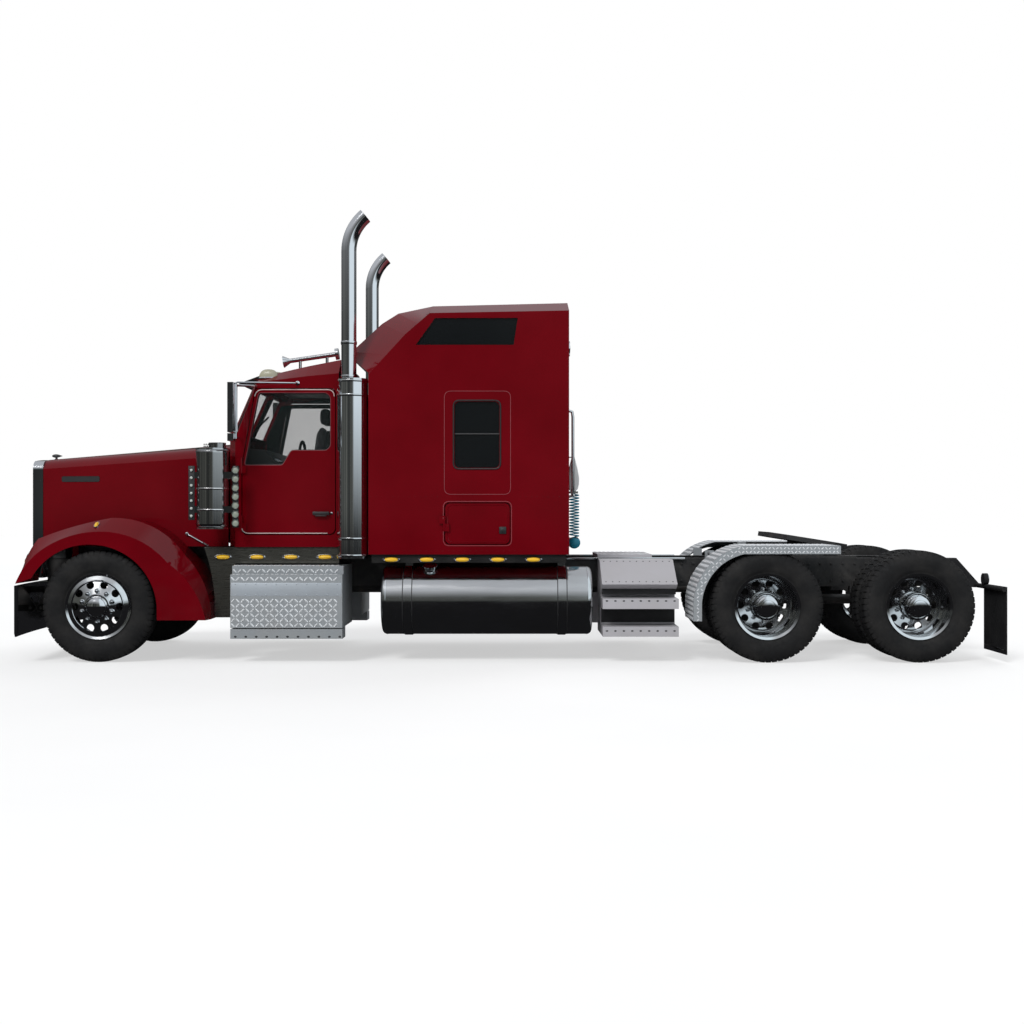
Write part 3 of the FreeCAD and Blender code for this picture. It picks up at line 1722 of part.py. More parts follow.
def make_headlamps():
    """Rectangular lamp pods that stand on the fender fronts beside the grille."""
    x = axle_x - D.headlamp_front_reach
    low_y = -D.headlamp_centre - D.headlamp_width / 2
    pod = box(
        (x, x + D.headlamp_depth),
        (low_y, low_y + D.headlamp_width),
        (D.headlamp_level, D.headlamp_level + D.headlamp_height),
    )
    node("headlamps", pair(cut(pod, fender_solid(ZERO), hood_solid(ZERO, ZERO))))


def make_air_cleaners():
    """Upright canisters at the cowl, with lamp strips ahead of and behind them."""
    x = cab_x - D.cleaner_x_from_cab
    y = -D.cleaner_offset
    low = D.cleaner_bottom
    cap = D.cleaner_cap_height
    body = rod("Z", (x, y, low), D.cleaner_height, D.cleaner_radius)
    can = rounded(body, cap, lambda edge: edge.BoundBox.ZLength < D.running_gap)
    neck = rod("Z", (x + cap, y, low + D.cleaner_height - cap), 2 * cap, D.cleaner_neck_radius)
    face = -D.lamp_panel_reach
    depth = (face - D.lamp_panel_wall, face)
    width = D.lamp_panel_width
    rear_plate = door_front_x + D.panel_gap
    front_plate = x - D.cleaner_radius - D.lamp_strip_lead
    high = D.lamp_panel_bottom + D.lamp_panel_height
    parts = [
        can,
        neck,
        box((rear_plate - width, rear_plate), depth, (D.lamp_panel_bottom, high)),
        box((front_plate, front_plate + width), depth, (D.lamp_strip_bottom, high)),
    ]
    side = -D.cab_half_width
    corner = cab_x + D.cab_nose_depth
    for share in BRACKET_SHARES:
        level = (low + D.cleaner_height * share, low + D.cleaner_height * share + D.cleaner_bracket)
        parts.append(box((front_plate, rear_plate), depth, level))
        parts.append(
            box((x, corner + D.cleaner_bracket / 2), (side - D.cleaner_bracket_wall, side), level)
        )
    node("air_cleaners", pair(fuse(*parts)))


def make_mirrors():
    """Flat and convex glasses on a post that two arms carry off the cab corner."""
    x = cab_x + D.mirror_x_from_cab
    y = -D.mirror_offset
    low, high = D.mirror_bottom, D.mirror_bottom + D.mirror_height
    depth, width = D.mirror_depth / 2, D.mirror_width / 2
    head = box((x - depth, x + depth), (y - width, y + width), (low, high))
    drop = low - D.mirror_gap
    convex = box((x - depth, x + depth), (y - width, y + width), (drop - D.convex_height, drop))
    radius = D.mirror_arm_radius
    post_x = x + depth + radius / 2
    foot = drop - D.convex_height / 2
    post = rod("Z", (post_x, y, foot - radius), high - foot, radius)
    side = D.overrun - D.cab_half_width
    lower = strut((post_x, y, foot), (post_x, side, foot), radius)
    header = (cab_x + D.screen_rake + D.cab_wall, side, (D.door_top + D.screen_top) / 2 - radius)
    upper = strut((post_x, y, high - radius * 2), header, radius)
    arms = [cut(arm, cab_solid(ZERO)) for arm in (lower, upper)]
    node("mirrors", pair(fuse(head, convex, post, *arms)))


def make_roof_fittings():
    """Sun visor, marker lamps and air horns, trimmed to stand on the roof."""
    brow_x = cab_x + D.screen_rake + D.brow_run
    brow_z = D.screen_top + D.brow_rise
    bend_x, bend_z = brow_x + D.roof_front_run, brow_z + D.roof_front_rise
    tip_x = brow_x - D.visor_reach
    visor = prism(
        "XZ",
        [
            (tip_x, brow_z - D.visor_drop),
            (brow_x, brow_z),
            (brow_x, brow_z + D.visor_wall),
            (tip_x, brow_z - D.visor_drop + D.visor_wall),
        ],
        -D.visor_half_width,
        D.visor_half_width,
    )
    parts = [visor]
    beacon_x = brow_x + D.roof_front_run * BEACON_SHARE
    beacon_z = brow_z - D.overrun
    horn_x = brow_x + D.horn_run
    for side in (LEFT, RIGHT):
        base = (beacon_x, side * D.beacon_offset, beacon_z)
        height = D.beacon_height + D.overrun
        parts.append(rod("Z", base, height, D.beacon_radius, D.beacon_radius / 2))
        y = side * D.horn_offset
        slope = D.horn_climb / D.horn_length
        mouth = (horn_x, y, brow_z + D.horn_height)
        neck = (horn_x + D.horn_bell_length, y, mouth[2] + slope * D.horn_bell_length)
        drum = (horn_x + D.horn_length, y, mouth[2] + D.horn_climb)
        end = (drum[0] + D.horn_drum_length, y, drum[2] + slope * D.horn_drum_length)
        parts.append(strut(mouth, neck, D.horn_bell_radius, D.horn_radius))
        parts.append(strut(neck, drum, D.horn_radius))
        parts.append(strut(drum, end, D.horn_drum_radius))
        front, rear = HORN_POST_SHARES
        feet = [
            (brow_x + D.roof_front_run * front, brow_z),
            (bend_x + (cab_rear_x - bend_x) * rear, bend_z),
        ]
        for x, z in feet:
            top = mouth[2] + slope * (x - horn_x)
            parts.append(rod("Z", (x, y, z), top - z, D.horn_post))
    node("roof_fittings", cut(fuse(*parts), cab_solid(ZERO)))


def make_exhausts():
    """Heat-shielded mufflers with straight stacks and turned-back tips."""
    x = cab_rear_x + D.stack_x_from_cab
    muffler_x = cab_rear_x + D.muffler_x_from_cab
    y = -D.stack_offset
    low = D.muffler_bottom
    top = low + D.muffler_height
    muffler = rod("Z", (muffler_x, y, low), D.muffler_height, D.muffler_radius)
    outside = D.stack_bend_radius + D.stack_radius
    bend_z = D.stack_top - outside * math.sin(math.radians(STACK_BEND_DEGREES))
    pipe = cut(
        rod("Z", (x, y, top - D.overrun), bend_z - top + D.overrun, D.stack_radius),
        rod("Z", (x, y, top + D.stack_wall), bend_z - top, D.stack_radius - D.stack_wall),
    )
    bends = []
    for radius in (D.stack_radius, D.stack_radius - D.stack_wall):
        bend = doc.addObject("Part::Torus", "Bend")
        turn = Rotation(Vector(-1, 0, 0), Vector(0, 0, 1), Vector(0, 1, 0), "XYZ")
        bend.Placement = Placement(Vector(), turn)
        bind(bend, Radius1=D.stack_bend_radius, Radius2=radius)
        bend.Angle3 = STACK_BEND_DEGREES
        place(bend, x + D.stack_bend_radius, y, bend_z)
        bends.append(bend)
    tip = cut(*bends)
    elbow = rod("Y", (muffler_x, y, D.exhaust_elbow_level), D.stack_offset - D.frame_half_width,
                D.exhaust_pipe_radius)
    drop = box(
        (muffler_x - D.strap_width / 2, muffler_x + D.strap_width / 2),
        (-D.frame_half_width - D.exhaust_pipe_radius / 2, D.rail_flange - D.frame_half_width),
        (D.rail_top, D.exhaust_elbow_level),
    )
    node("exhausts", pair(fuse(muffler, pipe, tip, elbow, drop)))


def make_step_boxes():
    """Tread-plate tool boxes ahead of the tanks and stepped boxes behind them."""
    x = cab_x + D.tool_box_setback
    span = (x, x + D.tool_box_length)
    inner = -D.frame_half_width
    outer = -D.box_outer
    low = D.tool_box_bottom
    main = box(span, (outer, inner), (low, D.tool_box_shelf))
    upper = box(span, (outer + D.tool_box_step_inset, inner), (D.tool_box_shelf, D.tool_box_top))
    board_top = low - D.low_step_gap
    board = box(span, (outer, outer + D.low_step_depth), (board_top - D.low_step_height, board_top))
    web = box(
        span,
        (outer + D.low_step_depth / 2, outer + D.low_step_depth),
        (board_top - D.low_step_height, low),
    )
    front_box = fuse(main, upper, board, web)
    rear_x = D.rear_box_x
    rear_span = (rear_x, rear_x + D.rear_box_length)
    inset = D.rear_box_step_inset
    profile = [
        (inner, D.rear_step_lower - D.rear_step_board),
        (inner, D.rear_box_top),
        (outer + D.rear_box_top_inset, D.rear_box_top),
        (outer + inset, D.rear_box_shoulder),
        (outer + D.rear_step_depth, D.rear_box_shoulder - inset),
        (outer + D.rear_step_depth, D.rear_step_upper),
        (outer, D.rear_step_upper),
        (outer, D.rear_step_upper - D.rear_step_board),
        (outer + D.rear_step_depth, D.rear_step_upper - D.rear_step_board),
        (outer + D.rear_step_depth, D.rear_step_lower),
        (outer, D.rear_step_lower),
        (outer, D.rear_step_lower - D.rear_step_board),
    ]
    rear_box = prism("YZ", profile, *rear_span)
    node("step_boxes", group(front_box, mirrored(front_box), rear_box, mirrored(rear_box)))
    deck = box(
        (rear_x, rear_x + D.deck_length),
        (-D.frame_half_width, D.frame_half_width),
        (D.rail_top, D.rail_top + D.deck_wall),
    )
    node("deck_plate", deck)


def make_fuel_tanks():
    x = sleeper_x + D.tank_setback
    y, z = -D.tank_offset, D.tank_level
    body = rod("X", (x, y, z), D.tank_length, D.tank_radius)
    tank = rounded(body, D.tank_end_round, lambda edge: edge.BoundBox.XLength < D.running_gap)
    parts = [tank]
    ring = D.tank_radius + D.strap_wall
    for strap_x in (x + D.strap_front, x + D.tank_length - D.strap_rear):
        parts.append(rod("X", (strap_x - D.strap_width / 2, y, z), D.strap_width, ring))
        parts.append(
            box(
                (strap_x - D.strap_width / 2, strap_x + D.strap_width / 2),
                (y, -D.frame_half_width),
                (D.rail_top - D.bracket_height, D.rail_top - D.rail_wall),
            )
        )
    node("fuel_tanks", pair(fuse(*parts)))


def make_side_skirts():
    """Polished panels under the cab and sleeper; the front one follows the hood's swing."""
    side = D.skirt_side
    tail = axle_x + D.fender_tail_reach
    reach = tail - pivot_x + D.skirt_gap
    rise = D.cab_bottom - D.pivot_height
    top_reach = Size(math.sqrt(float(reach * reach - rise * rise)),
                     f"sqrt({formula(reach * reach - rise * rise)})")
    top_x = pivot_x + top_reach
    rear = cab_rear_x
    front_rear = cab_x + D.tool_box_setback - D.running_gap
    low = D.skirt_front_bottom
    front_low_x = pivot_x + reach
    outline = [
        (front_low_x, low),
        (front_rear, low),
        (front_rear, D.cab_bottom - D.skirt_strip),
        (rear, D.cab_bottom - D.skirt_strip),
        (rear, D.cab_bottom),
        (top_x, D.cab_bottom, -reach),
        (front_low_x, D.pivot_height),
    ]
    plate = prism("XZ", outline, -side, D.skirt_wall - side)
    bracket = box(
        (cab_x, cab_x + D.skirt_strip / 2),
        (D.skirt_wall - side, -D.frame_half_width),
        (D.rail_top - D.skirt_strip, D.rail_top - D.rail_wall),
    )
    wide = D.sleeper_half_width - D.sleeper_skirt_inset
    strip = box(
        (sleeper_x + D.sleeper_skirt_inset, sleeper_rear_x - D.sleeper_skirt_inset),
        (-wide, D.skirt_wall - wide),
        (D.sleeper_bottom - D.sleeper_skirt_height, D.sleeper_bottom),
    )
    panels = [fuse(plate, bracket), strip]
    node("side_skirts", group(*panels, *[mirrored(panel) for panel in panels]))


def make_marker_lamps():
    """Amber lamps along the skirts and the red lamps at the frame's end."""
    lamps = []
    first = cab_rear_x - D.marker_end_inset
    length, height, stand = D.marker_length, D.marker_height, D.marker_stand
    for i in range(4):
        x = first - D.marker_cab_pitch * i - length / 2
        z = D.cab_bottom - D.marker_drop
        side = -D.skirt_side
        lamps.append(box((x, x + length), (side - stand, side), (z - height / 2, z + height / 2)))
    for i in range(5):
        x = sleeper_x + D.marker_sleeper_start + D.marker_sleeper_pitch * i - length / 2
        z = D.sleeper_bottom - D.sleeper_marker_drop
        side = D.sleeper_skirt_inset - D.sleeper_half_width
        lamps.append(box((x, x + length), (side - stand, side), (z - height / 2, z + height / 2)))
    node("marker_lamps", group(*lamps, *[mirrored(lamp) for lamp in lamps]))


def make_quarter_fenders():
    x = rear_axles_x[0]
    wall = D.quarter_wall
    outer = -D.rear_outer_face
    inner = -D.quarter_inner

    def band(inset):
        leg = x - D.quarter_leg_reach + inset
        top = D.quarter_top - inset
        arc = D.quarter_arc - inset
        return leg, top, arc

    def closed(inset):
        leg, top, arc = band(ZERO)
        leg_in, top_in, arc_in = band(inset)
        knee = D.quarter_knee_height
        flat = x - D.quarter_flat_reach
        rear = x + D.quarter_rear_reach
        return [
            (leg, D.quarter_bottom),
            (leg_in, D.quarter_bottom),
            (leg_in, knee, -arc_in),
            (flat, top_in),
            (rear, top_in),
            (rear, top),
            (flat, top, arc),
            (leg, knee),
        ]

    skin = prism("XZ", closed(wall), outer, inner)
    lip = prism("XZ", closed(D.quarter_lip), outer, outer + wall)
    pipes = []
    rear_pipe_x = x + D.quarter_pipe_rear
    front_pipe_x = x - D.quarter_pipe_front
    radius = D.quarter_pipe_radius
    rail = -D.frame_half_width
    foot = D.rail_top - D.rail_flange
    under = D.quarter_top - wall / 2 - radius
    for pipe_x, level in ((front_pipe_x, D.quarter_pipe_level), (rear_pipe_x, under)):
        pipes.append(rod("Y", (pipe_x, inner, level), rail - inner, radius))
        plate = (rail - D.pivot_plate, rail)
        pipes.append(box((pipe_x - radius * 2, pipe_x + radius * 2), plate, (foot, level + radius)))
    node("quarter_fenders", pair(fuse(skin, lip, *pipes)))


def make_mud_flaps():
    """Flaps and the spring hangers that carry them behind the last axle."""
    x = rear_axles_x[1] + D.flap_reach
    flap = box((x - D.flap_wall, x), (-D.flap_outer, -D.flap_inner), (D.flap_bottom, D.flap_top))
    pipe = D.hanger_pipe_radius
    bar = rod(
        "Y",
        (x - D.flap_wall / 2 - pipe, -D.flap_outer, D.flap_top - pipe),
        D.flap_outer - D.frame_half_width,
        pipe,
    )
    stay = prism(
        "XZ",
        [
            (frame_rear_x - D.hanger_drop, rail_bottom + D.rail_wall),
            (x - D.flap_wall - 2 * pipe, D.flap_top - 2 * pipe),
            (x - D.flap_wall, D.flap_top - 2 * pipe),
            (x - D.flap_wall, D.flap_top),
            (frame_rear_x, D.rail_top - D.rail_wall),
            (frame_rear_x - D.hanger_drop, D.rail_top - D.rail_wall),
        ],
        -D.frame_half_width - D.pivot_plate,
        -D.frame_half_width,
    )
    lamp = rod(
        "X",
        (x - D.flap_wall - 2 * pipe, -D.tail_lamp_offset, D.tail_lamp_level),
        D.tail_lamp_depth,
        D.tail_lamp_radius,
    )
    node("mud_flaps", pair(fuse(flap, bar, stay, lamp)))


def make_fifth_wheel():
    """Coupling plate that rocks on its trunnions, with the base bolted to the rails."""
    x = tandem_x - D.coupling_ahead
    half = D.coupling_half_width
    front = x - D.coupling_length * D.coupling_front_share
    rear = front + D.coupling_length
    top = D.coupling_top
    throat, mouth = D.throat_radius, D.throat_mouth / 2
    chamfer = D.coupling_chamfer
    plan = [
        (front + chamfer, -half),
        (rear - chamfer, -half),
        (rear, chamfer - half),
        (rear, -mouth),
        (x + mouth, -throat),
        (x, -throat, -throat),
        (x - throat, ZERO, -throat),
        (x, throat),
        (x + mouth, throat),
        (rear, mouth),
        (rear, half - chamfer),
        (rear - chamfer, half),
        (front + chamfer, half),
        (front, half - chamfer),
        (front, chamfer - half),
    ]
    plate = prism("XY", plan, top - D.coupling_plate, top)
    ears = []
    ear_half = D.coupling_foot_length / 2
    side = D.trunnion_half
    low = D.trunnion_height - D.trunnion_radius * 2
    ear = box(
        (x - ear_half / 2, x + ear_half / 2),
        (-side, D.coupling_foot_wall - side),
        (low, top - D.coupling_plate + D.strap_wall),
    )
    pin = rod("Y", (x, -side - D.coupling_foot_wall, D.trunnion_height), 2 * D.coupling_foot_wall,
              D.trunnion_radius)
    ears = fuse(ear, pin)
    level = fuse(plate, ears, mirrored(ears))
    tilted = doc.addObject("Part::Compound", "Tilted")
    tilted.Links = [level]
    doc.recompute()
    turn = Rotation(Vector(0, 1, 0), COUPLING_REST_DEGREES)
    hub = Vector(float(x), 0, float(D.trunnion_height))
    tilted.Placement = Placement(Vector(), turn, hub)
    node("fifth_wheel_plate", tilted)
    foot_in = side + D.panel_gap
    round_top = D.coupling_foot_round
    base_top = D.rail_top + D.coupling_base_wall
    foot = prism(
        "XZ",
        [
            (x - ear_half, base_top),
            (x + ear_half, base_top),
            (x + round_top, D.trunnion_height, round_top),
            (x, D.trunnion_height + round_top, round_top),
            (x - round_top, D.trunnion_height),
        ],
        -foot_in - D.coupling_foot_wall,
        -foot_in,
    )
    bore = rod("Y", (x, -foot_in - D.coupling_foot_wall - D.overrun, D.trunnion_height),
               D.coupling_foot_wall + 2 * D.overrun, D.trunnion_radius + D.running_gap)
    base_half = D.coupling_base_length / 2
    base = box(
        (x - base_half, x + base_half),
        (-D.frame_half_width, D.rail_flange - D.frame_half_width),
        (D.rail_top, D.rail_top + D.coupling_base_wall),
    )
    node("fifth_wheel_base", pair(fuse(cut(foot, bore), base)))


def make_air_lines():
    """Coupling bracket behind the sleeper and the coiled line that hangs on it."""
    x = sleeper_rear_x + D.air_line_out
    y = -D.air_line_offset
    radius = D.air_line_radius
    line = rod("Z", (x, y, D.air_line_bottom), D.air_line_top - D.air_line_bottom, radius)
    node("air_line", line)
    wall = D.air_bracket_wall
    half = D.coupler_width / 2
    top = box(
        (sleeper_rear_x, x + half),
        (y - half, y + half),
        (D.air_line_top, D.air_line_top + wall),
    )
    coupler = box((x - half, x + half), (y - half, y + half),
                  (D.air_line_bottom - D.coupler_height, D.air_line_bottom))
    stem = box(
        (sleeper_rear_x, x + half),
        (y - half, y + half),
        (D.air_line_bottom - D.coupler_height - wall, D.air_line_bottom - D.coupler_height),
    )
    node("air_couplers", group(top, fuse(coupler, stem)))


for make in (
    make_frame,
    make_bumper,
    make_engine,
    make_front_axle,
    make_knuckles,
    make_front_wheels,
    make_rear_wheels,
    make_rear_axles,
    make_rear_suspension,
    make_cab,
    make_doors,
    make_cab_inside,
    make_sleeper,
    make_fixed_glass,
    make_luggage_doors,
    make_hood,
    make_grille,
    make_fenders,
    make_headlamps,
    make_air_cleaners,
    make_mirrors,
    make_roof_fittings,
    make_exhausts,
    make_step_boxes,
    make_fuel_tanks,
    make_side_skirts,
    make_marker_lamps,
    make_quarter_fenders,
    make_mud_flaps,
    make_fifth_wheel,
    make_air_lines,
):
    make()
doc.recompute()

failed = [obj for obj in doc.Objects if "Invalid" in obj.State or "Error" in obj.State]
if failed:
    for obj in failed:
        print(obj.Name, [user.Label for user in obj.InListRecursive])
    raise RuntimeError("Some objects did not build")
os.makedirs("parts", exist_ok=True)
for label, solid in NODES.items():
    shape = solid.Shape
    if shape.isNull() or not shape.isValid():
        raise RuntimeError(f"{label} has no valid shape")
    shape.exportStep(f"parts/{label}.step")
    print(label, len(shape.Solids), round(shape.Volume / 1e9, 4))
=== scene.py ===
"""Long-nose highway tractor with a high-roof sleeper: finishes, fittings, light and camera."""

import math

import bmesh
import bpy
from mathutils import Matrix, Quaternion, Vector
from mathutils.bvhtree import BVHTree


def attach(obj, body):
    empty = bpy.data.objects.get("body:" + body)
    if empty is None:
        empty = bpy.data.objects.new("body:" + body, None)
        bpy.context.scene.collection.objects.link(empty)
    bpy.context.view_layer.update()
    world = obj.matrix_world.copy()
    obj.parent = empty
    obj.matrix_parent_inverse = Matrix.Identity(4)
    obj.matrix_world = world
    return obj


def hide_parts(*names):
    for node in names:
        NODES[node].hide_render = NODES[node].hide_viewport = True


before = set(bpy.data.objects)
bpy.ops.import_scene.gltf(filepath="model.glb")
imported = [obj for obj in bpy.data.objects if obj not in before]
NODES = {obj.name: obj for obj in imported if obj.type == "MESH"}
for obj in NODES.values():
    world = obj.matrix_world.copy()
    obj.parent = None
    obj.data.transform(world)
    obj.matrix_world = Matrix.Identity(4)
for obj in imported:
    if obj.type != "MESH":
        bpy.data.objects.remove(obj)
MM = 0.001
SIDES = {"left": -1, "right": 1}
BOTH = tuple(SIDES.values())
X, Y, Z = (Vector(way) for way in ((1, 0, 0), (0, 1, 0), (0, 0, 1)))


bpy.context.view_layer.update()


# Finishes


def operator(operation, swapped=False):
    def work(self, other):
        pair = (other, self) if swapped else (self, other)
        return self.finish.node("ShaderNodeMath", {"operation": operation}, dict(enumerate(pair)))

    return work


class Value:
    """A socket of a material that adds, multiplies and compares as a number does."""

    def __init__(self, finish, socket):
        self.finish = finish
        self.socket = socket

    __add__ = __radd__ = operator("ADD")
    __mul__ = __rmul__ = operator("MULTIPLY")
    __sub__ = operator("SUBTRACT")
    __rsub__ = operator("SUBTRACT", True)
    __pow__ = operator("POWER")
    __gt__ = operator("GREATER_THAN")
    __lt__ = operator("LESS_THAN")
    greatest = operator("MAXIMUM")


class Net:
    """The emptied node tree of a material or a world, and its new output."""

    def __init__(self, owner, output):
        owner.use_nodes = True
        self.tree = owner.node_tree
        self.tree.nodes.clear()
        self.output = self.tree.nodes.new(output)

    def node(self, kind, settings=None, inputs=None, out=0):
        """Any node: its settings first, then the values or links of its sockets."""
        made = self.tree.nodes.new(kind)
        for key, value in (settings or {}).items():
            setattr(made, key, value)
        for key, value in (inputs or {}).items():
            if isinstance(value, Value):
                self.tree.links.new(value.socket, made.inputs[key])
            else:
                made.inputs[key].default_value = value
        return Value(self, made.outputs[out])

    def seen(self):
        """One for rays that show a thing, nought for rays that only carry light."""
        share = self.node("ShaderNodeLightPath", out="Is Camera Ray")
        for kind in ("Is Glossy Ray", "Is Transmission Ray"):
            share = share.greatest(self.node("ShaderNodeLightPath", out=kind))
        return share

    def show(self, share, lit, shown):
        """Sends out one shader or the other by a share."""
        mix = self.node("ShaderNodeMixShader", None, {0: share, 1: lit, 2: shown})
        self.tree.links.new(mix.socket, self.output.inputs[0])


class Finish(Net):
    """A material under construction: its shader, and patterns that read object coordinates."""

    def __init__(self, name, **plain_sockets):
        self.material = bpy.data.materials.new(name)
        super().__init__(self.material, "ShaderNodeOutputMaterial")
        self.shader = self.tree.nodes.new("ShaderNodeBsdfPrincipled")
        self.tree.links.new(self.shader.outputs[0], self.output.inputs[0])
        for socket, value in plain_sockets.items():
            self.shader.inputs[socket.replace("_", " ")].default_value = value
        self.place = self.node("ShaderNodeTexCoord", out="Object")

    def feed(self, socket, value):
        self.tree.links.new(value.socket, self.shader.inputs[socket])
        return self

    def dressed(self, tone, rough, height, distance, strength=1.0):
        """Feeds what most finishes vary: colour, roughness and relief."""
        self.feed("Base Color", tone)
        self.feed("Roughness", rough)
        return self.relief(height, distance, strength)

    def noise(self, scale, detail=3.0, stretch=(1, 1, 1), rough=0.5):
        inputs = {"Vector": self.place, "Scale": stretch}
        stretched = self.node("ShaderNodeMapping", None, inputs)
        inputs = {"Vector": stretched, "Scale": scale, "Detail": detail, "Roughness": rough}
        return self.node("ShaderNodeTexNoise", {"noise_dimensions": "3D"}, inputs)

    def bands(self, way, scale, out=0):
        inputs = {"Vector": self.place, "Scale": scale}
        return self.node("ShaderNodeTexWave", {"bands_direction": way}, inputs, out)

    def along(self, axis):
        return self.node("ShaderNodeSeparateXYZ", None, {0: self.place}, out=axis)

    def facing(self, axis):
        normal = self.node("ShaderNodeNewGeometry", out="Normal")
        return self.node("ShaderNodeSeparateXYZ", None, {0: normal}, out=axis)

    def within(self, **spans):
        """One inside a box, given by its low and high along each axis, and nought outside."""
        share = 1.0
        for axis, (low, high) in spans.items():
            place = self.along(axis)
            share = (place > low) * (place < high) * share
        return share

    def between(self, value, low, high, to_low=0.0, to_high=1.0):
        inputs = {0: value, 1: low, 2: high, 3: to_low, 4: to_high}
        return self.node("ShaderNodeMapRange", {"clamp": True}, inputs)

    def mixed(self, share, *tones):
        """One tone or the other by a share; each is a value or three numbers."""
        pair = [tone if isinstance(tone, Value) else (*tone, 1.0) for tone in tones]
        settings = {"data_type": "RGBA", "clamp_factor": True}
        return self.node("ShaderNodeMix", settings, {0: share, 6: pair[0], 7: pair[1]}, out=2)

    def relief(self, height, distance, strength=1.0):
        inputs = {"Height": height, "Distance": distance, "Strength": strength}
        return self.feed("Normal", self.node("ShaderNodeBump", None, inputs))


def dimmed(tone, share):
    return tuple(share * part for part in tone)


METAL_DUST = (0.28, 0.26, 0.24)


def road_film(finish, clean, film, amount):
    """Colour of a surface that gathers road dust towards the ground."""
    height = finish.between(finish.along("Z"), 0.25, 1.1, 1.0, 0.0)
    patches = finish.between(finish.noise(5.0, 5.0), 0.35, 0.75)
    return finish.mixed(height * patches * amount, clean, film)


def gloss_paint(name, deep, bright):
    """Deep clear-coated paint, turned near-black as painted shade inside the cab and on faces that
    look down in the wheel arches, and dark on the hood's arms.
    """
    f = Finish(name, Coat_Roughness=0.03, Coat_IOR=1.45, Specular_IOR_Level=0.0)
    cloud = f.mixed(f.between(f.noise(2.2, 4.0), 0.3, 0.7), deep, bright)
    shade = road_film(f, cloud, (0.07, 0.03, 0.03), 0.15)
    roof = f.along("Z") - 0.24 * f.along("X") < 3.02
    screen = f.along("X") - 0.451 * f.along("Z") > -3.457
    # Painted shade: inside the cab the paint is near-black.
    cab = f.within(X=(-2.5, -1.5), Y=(-0.935, 0.935), Z=(1.1, 2.9)) * roof * screen
    arms = f.within(X=(-4.5, -3.6), Y=(-0.62, 0.62), Z=(0.3, 0.78))
    # Painted shade: faces that look down in the front wheel arches.
    arch_painted_shade = f.within(X=(-4.43, -2.6), Z=(0.4, 1.9)) * (f.facing("Z") < -0.2)
    dark_arms_and_painted_shade = cab.greatest(arms).greatest(arch_painted_shade)
    # Near-black with no clear coat: painted shade in the cab and arches, and the dark paint of the
    # hood's arms.
    shade = f.mixed(dark_arms_and_painted_shade, shade, (0.012, 0.0125, 0.012))
    f.feed("Coat Weight", 0.8 - 0.8 * dark_arms_and_painted_shade)
    rough = f.between(f.noise(9.0, 4.0), 0.3, 0.7, 0.30, 0.42)
    return f.dressed(shade, rough, f.noise(160.0, 1.0), 0.0002, 0.05)


def mirror_metal(name, tone, low, high, smear=(1, 1, 1), film=0.2, plated=1.0, rear=None):
    """Plated or polished metal with wiping marks and dust; the rear step may be lighter."""
    f = Finish(name, Metallic=plated)
    marks = f.noise(7.0, 6.0, smear, 0.6)
    shade = f.mixed(f.between(marks, 0.3, 0.8), tone, dimmed(tone, 0.9))
    if rear is not None:
        shade = f.mixed(f.within(X=(0.8, 1.62)), shade, rear)
    rough = f.between(marks, 0.3, 0.75, low, high)
    dusted = road_film(f, shade, METAL_DUST, film)
    return f.dressed(dusted, rough, f.noise(60.0, 2.0, smear), 0.0003, 0.06)


def roof_metal(name, tone):
    """Plated visor and horns, with cream lenses where the lamp domes stand."""
    f = Finish(name)
    aside = f.along("Y") * f.along("Y")
    dome = f.within(X=(-2.33, -2.13), Z=(2.622, 2.7)) * (aside > 0.105) * (aside < 0.27)
    marks = f.noise(7.0, 6.0)
    plated = road_film(f, f.mixed(marks, tone, (0.7, 0.7, 0.71)), METAL_DUST, 0.2)
    f.feed("Base Color", f.mixed(dome, plated, (0.34, 0.325, 0.24)))
    f.feed("Metallic", 1.0 - dome)
    return f.feed("Roughness", f.between(marks, 0.3, 0.75, 0.06, 0.14))


AXLE_HEIGHT = 508
FRONT_AXLE = -3698
REAR_AXLES = {1: 2356, 2: 3728}


def wheel_metal(name, tone):
    """Polished forged disc, crowned about the hub and hollow towards the rim, by relief."""
    f = Finish(name, Metallic=1.0)
    rear = f.along("X") > -2.0
    second = f.along("X") > (REAR_AXLES[1] + REAR_AXLES[2]) / 2 * MM
    to_rear, to_second = REAR_AXLES[1] - FRONT_AXLE, REAR_AXLES[2] - REAR_AXLES[1]
    off = f.along("X") - FRONT_AXLE * MM - to_rear * MM * rear - to_second * MM * second
    up = f.along("Z") - AXLE_HEIGHT * MM
    radius = (off * off + up * up) ** 0.5
    crown = (radius - 0.245).greatest(0.245 - radius)
    marks = f.noise(9.0, 5.0)
    shade = f.mixed(f.between(marks, 0.3, 0.8), tone, dimmed(tone, 0.88))
    rough = f.between(marks, 0.3, 0.75, 0.05, 0.12)
    return f.dressed(road_film(f, shade, METAL_DUST, 0.15), rough, crown, 0.42)


def brushed_metal(name, tone, stretch, low=0.22, high=0.4, black_from=None):
    """Rolled metal with fine lines; behind a given place along the truck it is painted black."""
    f = Finish(name, Metallic=1.0)
    lines = f.noise(40.0, 4.0, stretch, 0.7)
    shade = f.mixed(f.between(lines, 0.25, 0.75), tone, dimmed(tone, 0.78))
    if black_from is not None:
        painted = f.along("X") > black_from
        shade = f.mixed(painted, shade, (0.006, 0.006, 0.0065))
        f.feed("Metallic", 1 - painted)
    rough = f.between(lines, 0.3, 0.7, low, high)
    return f.dressed(road_film(f, shade, (0.2, 0.19, 0.17), 0.4), rough, lines, 0.0004, 0.12)


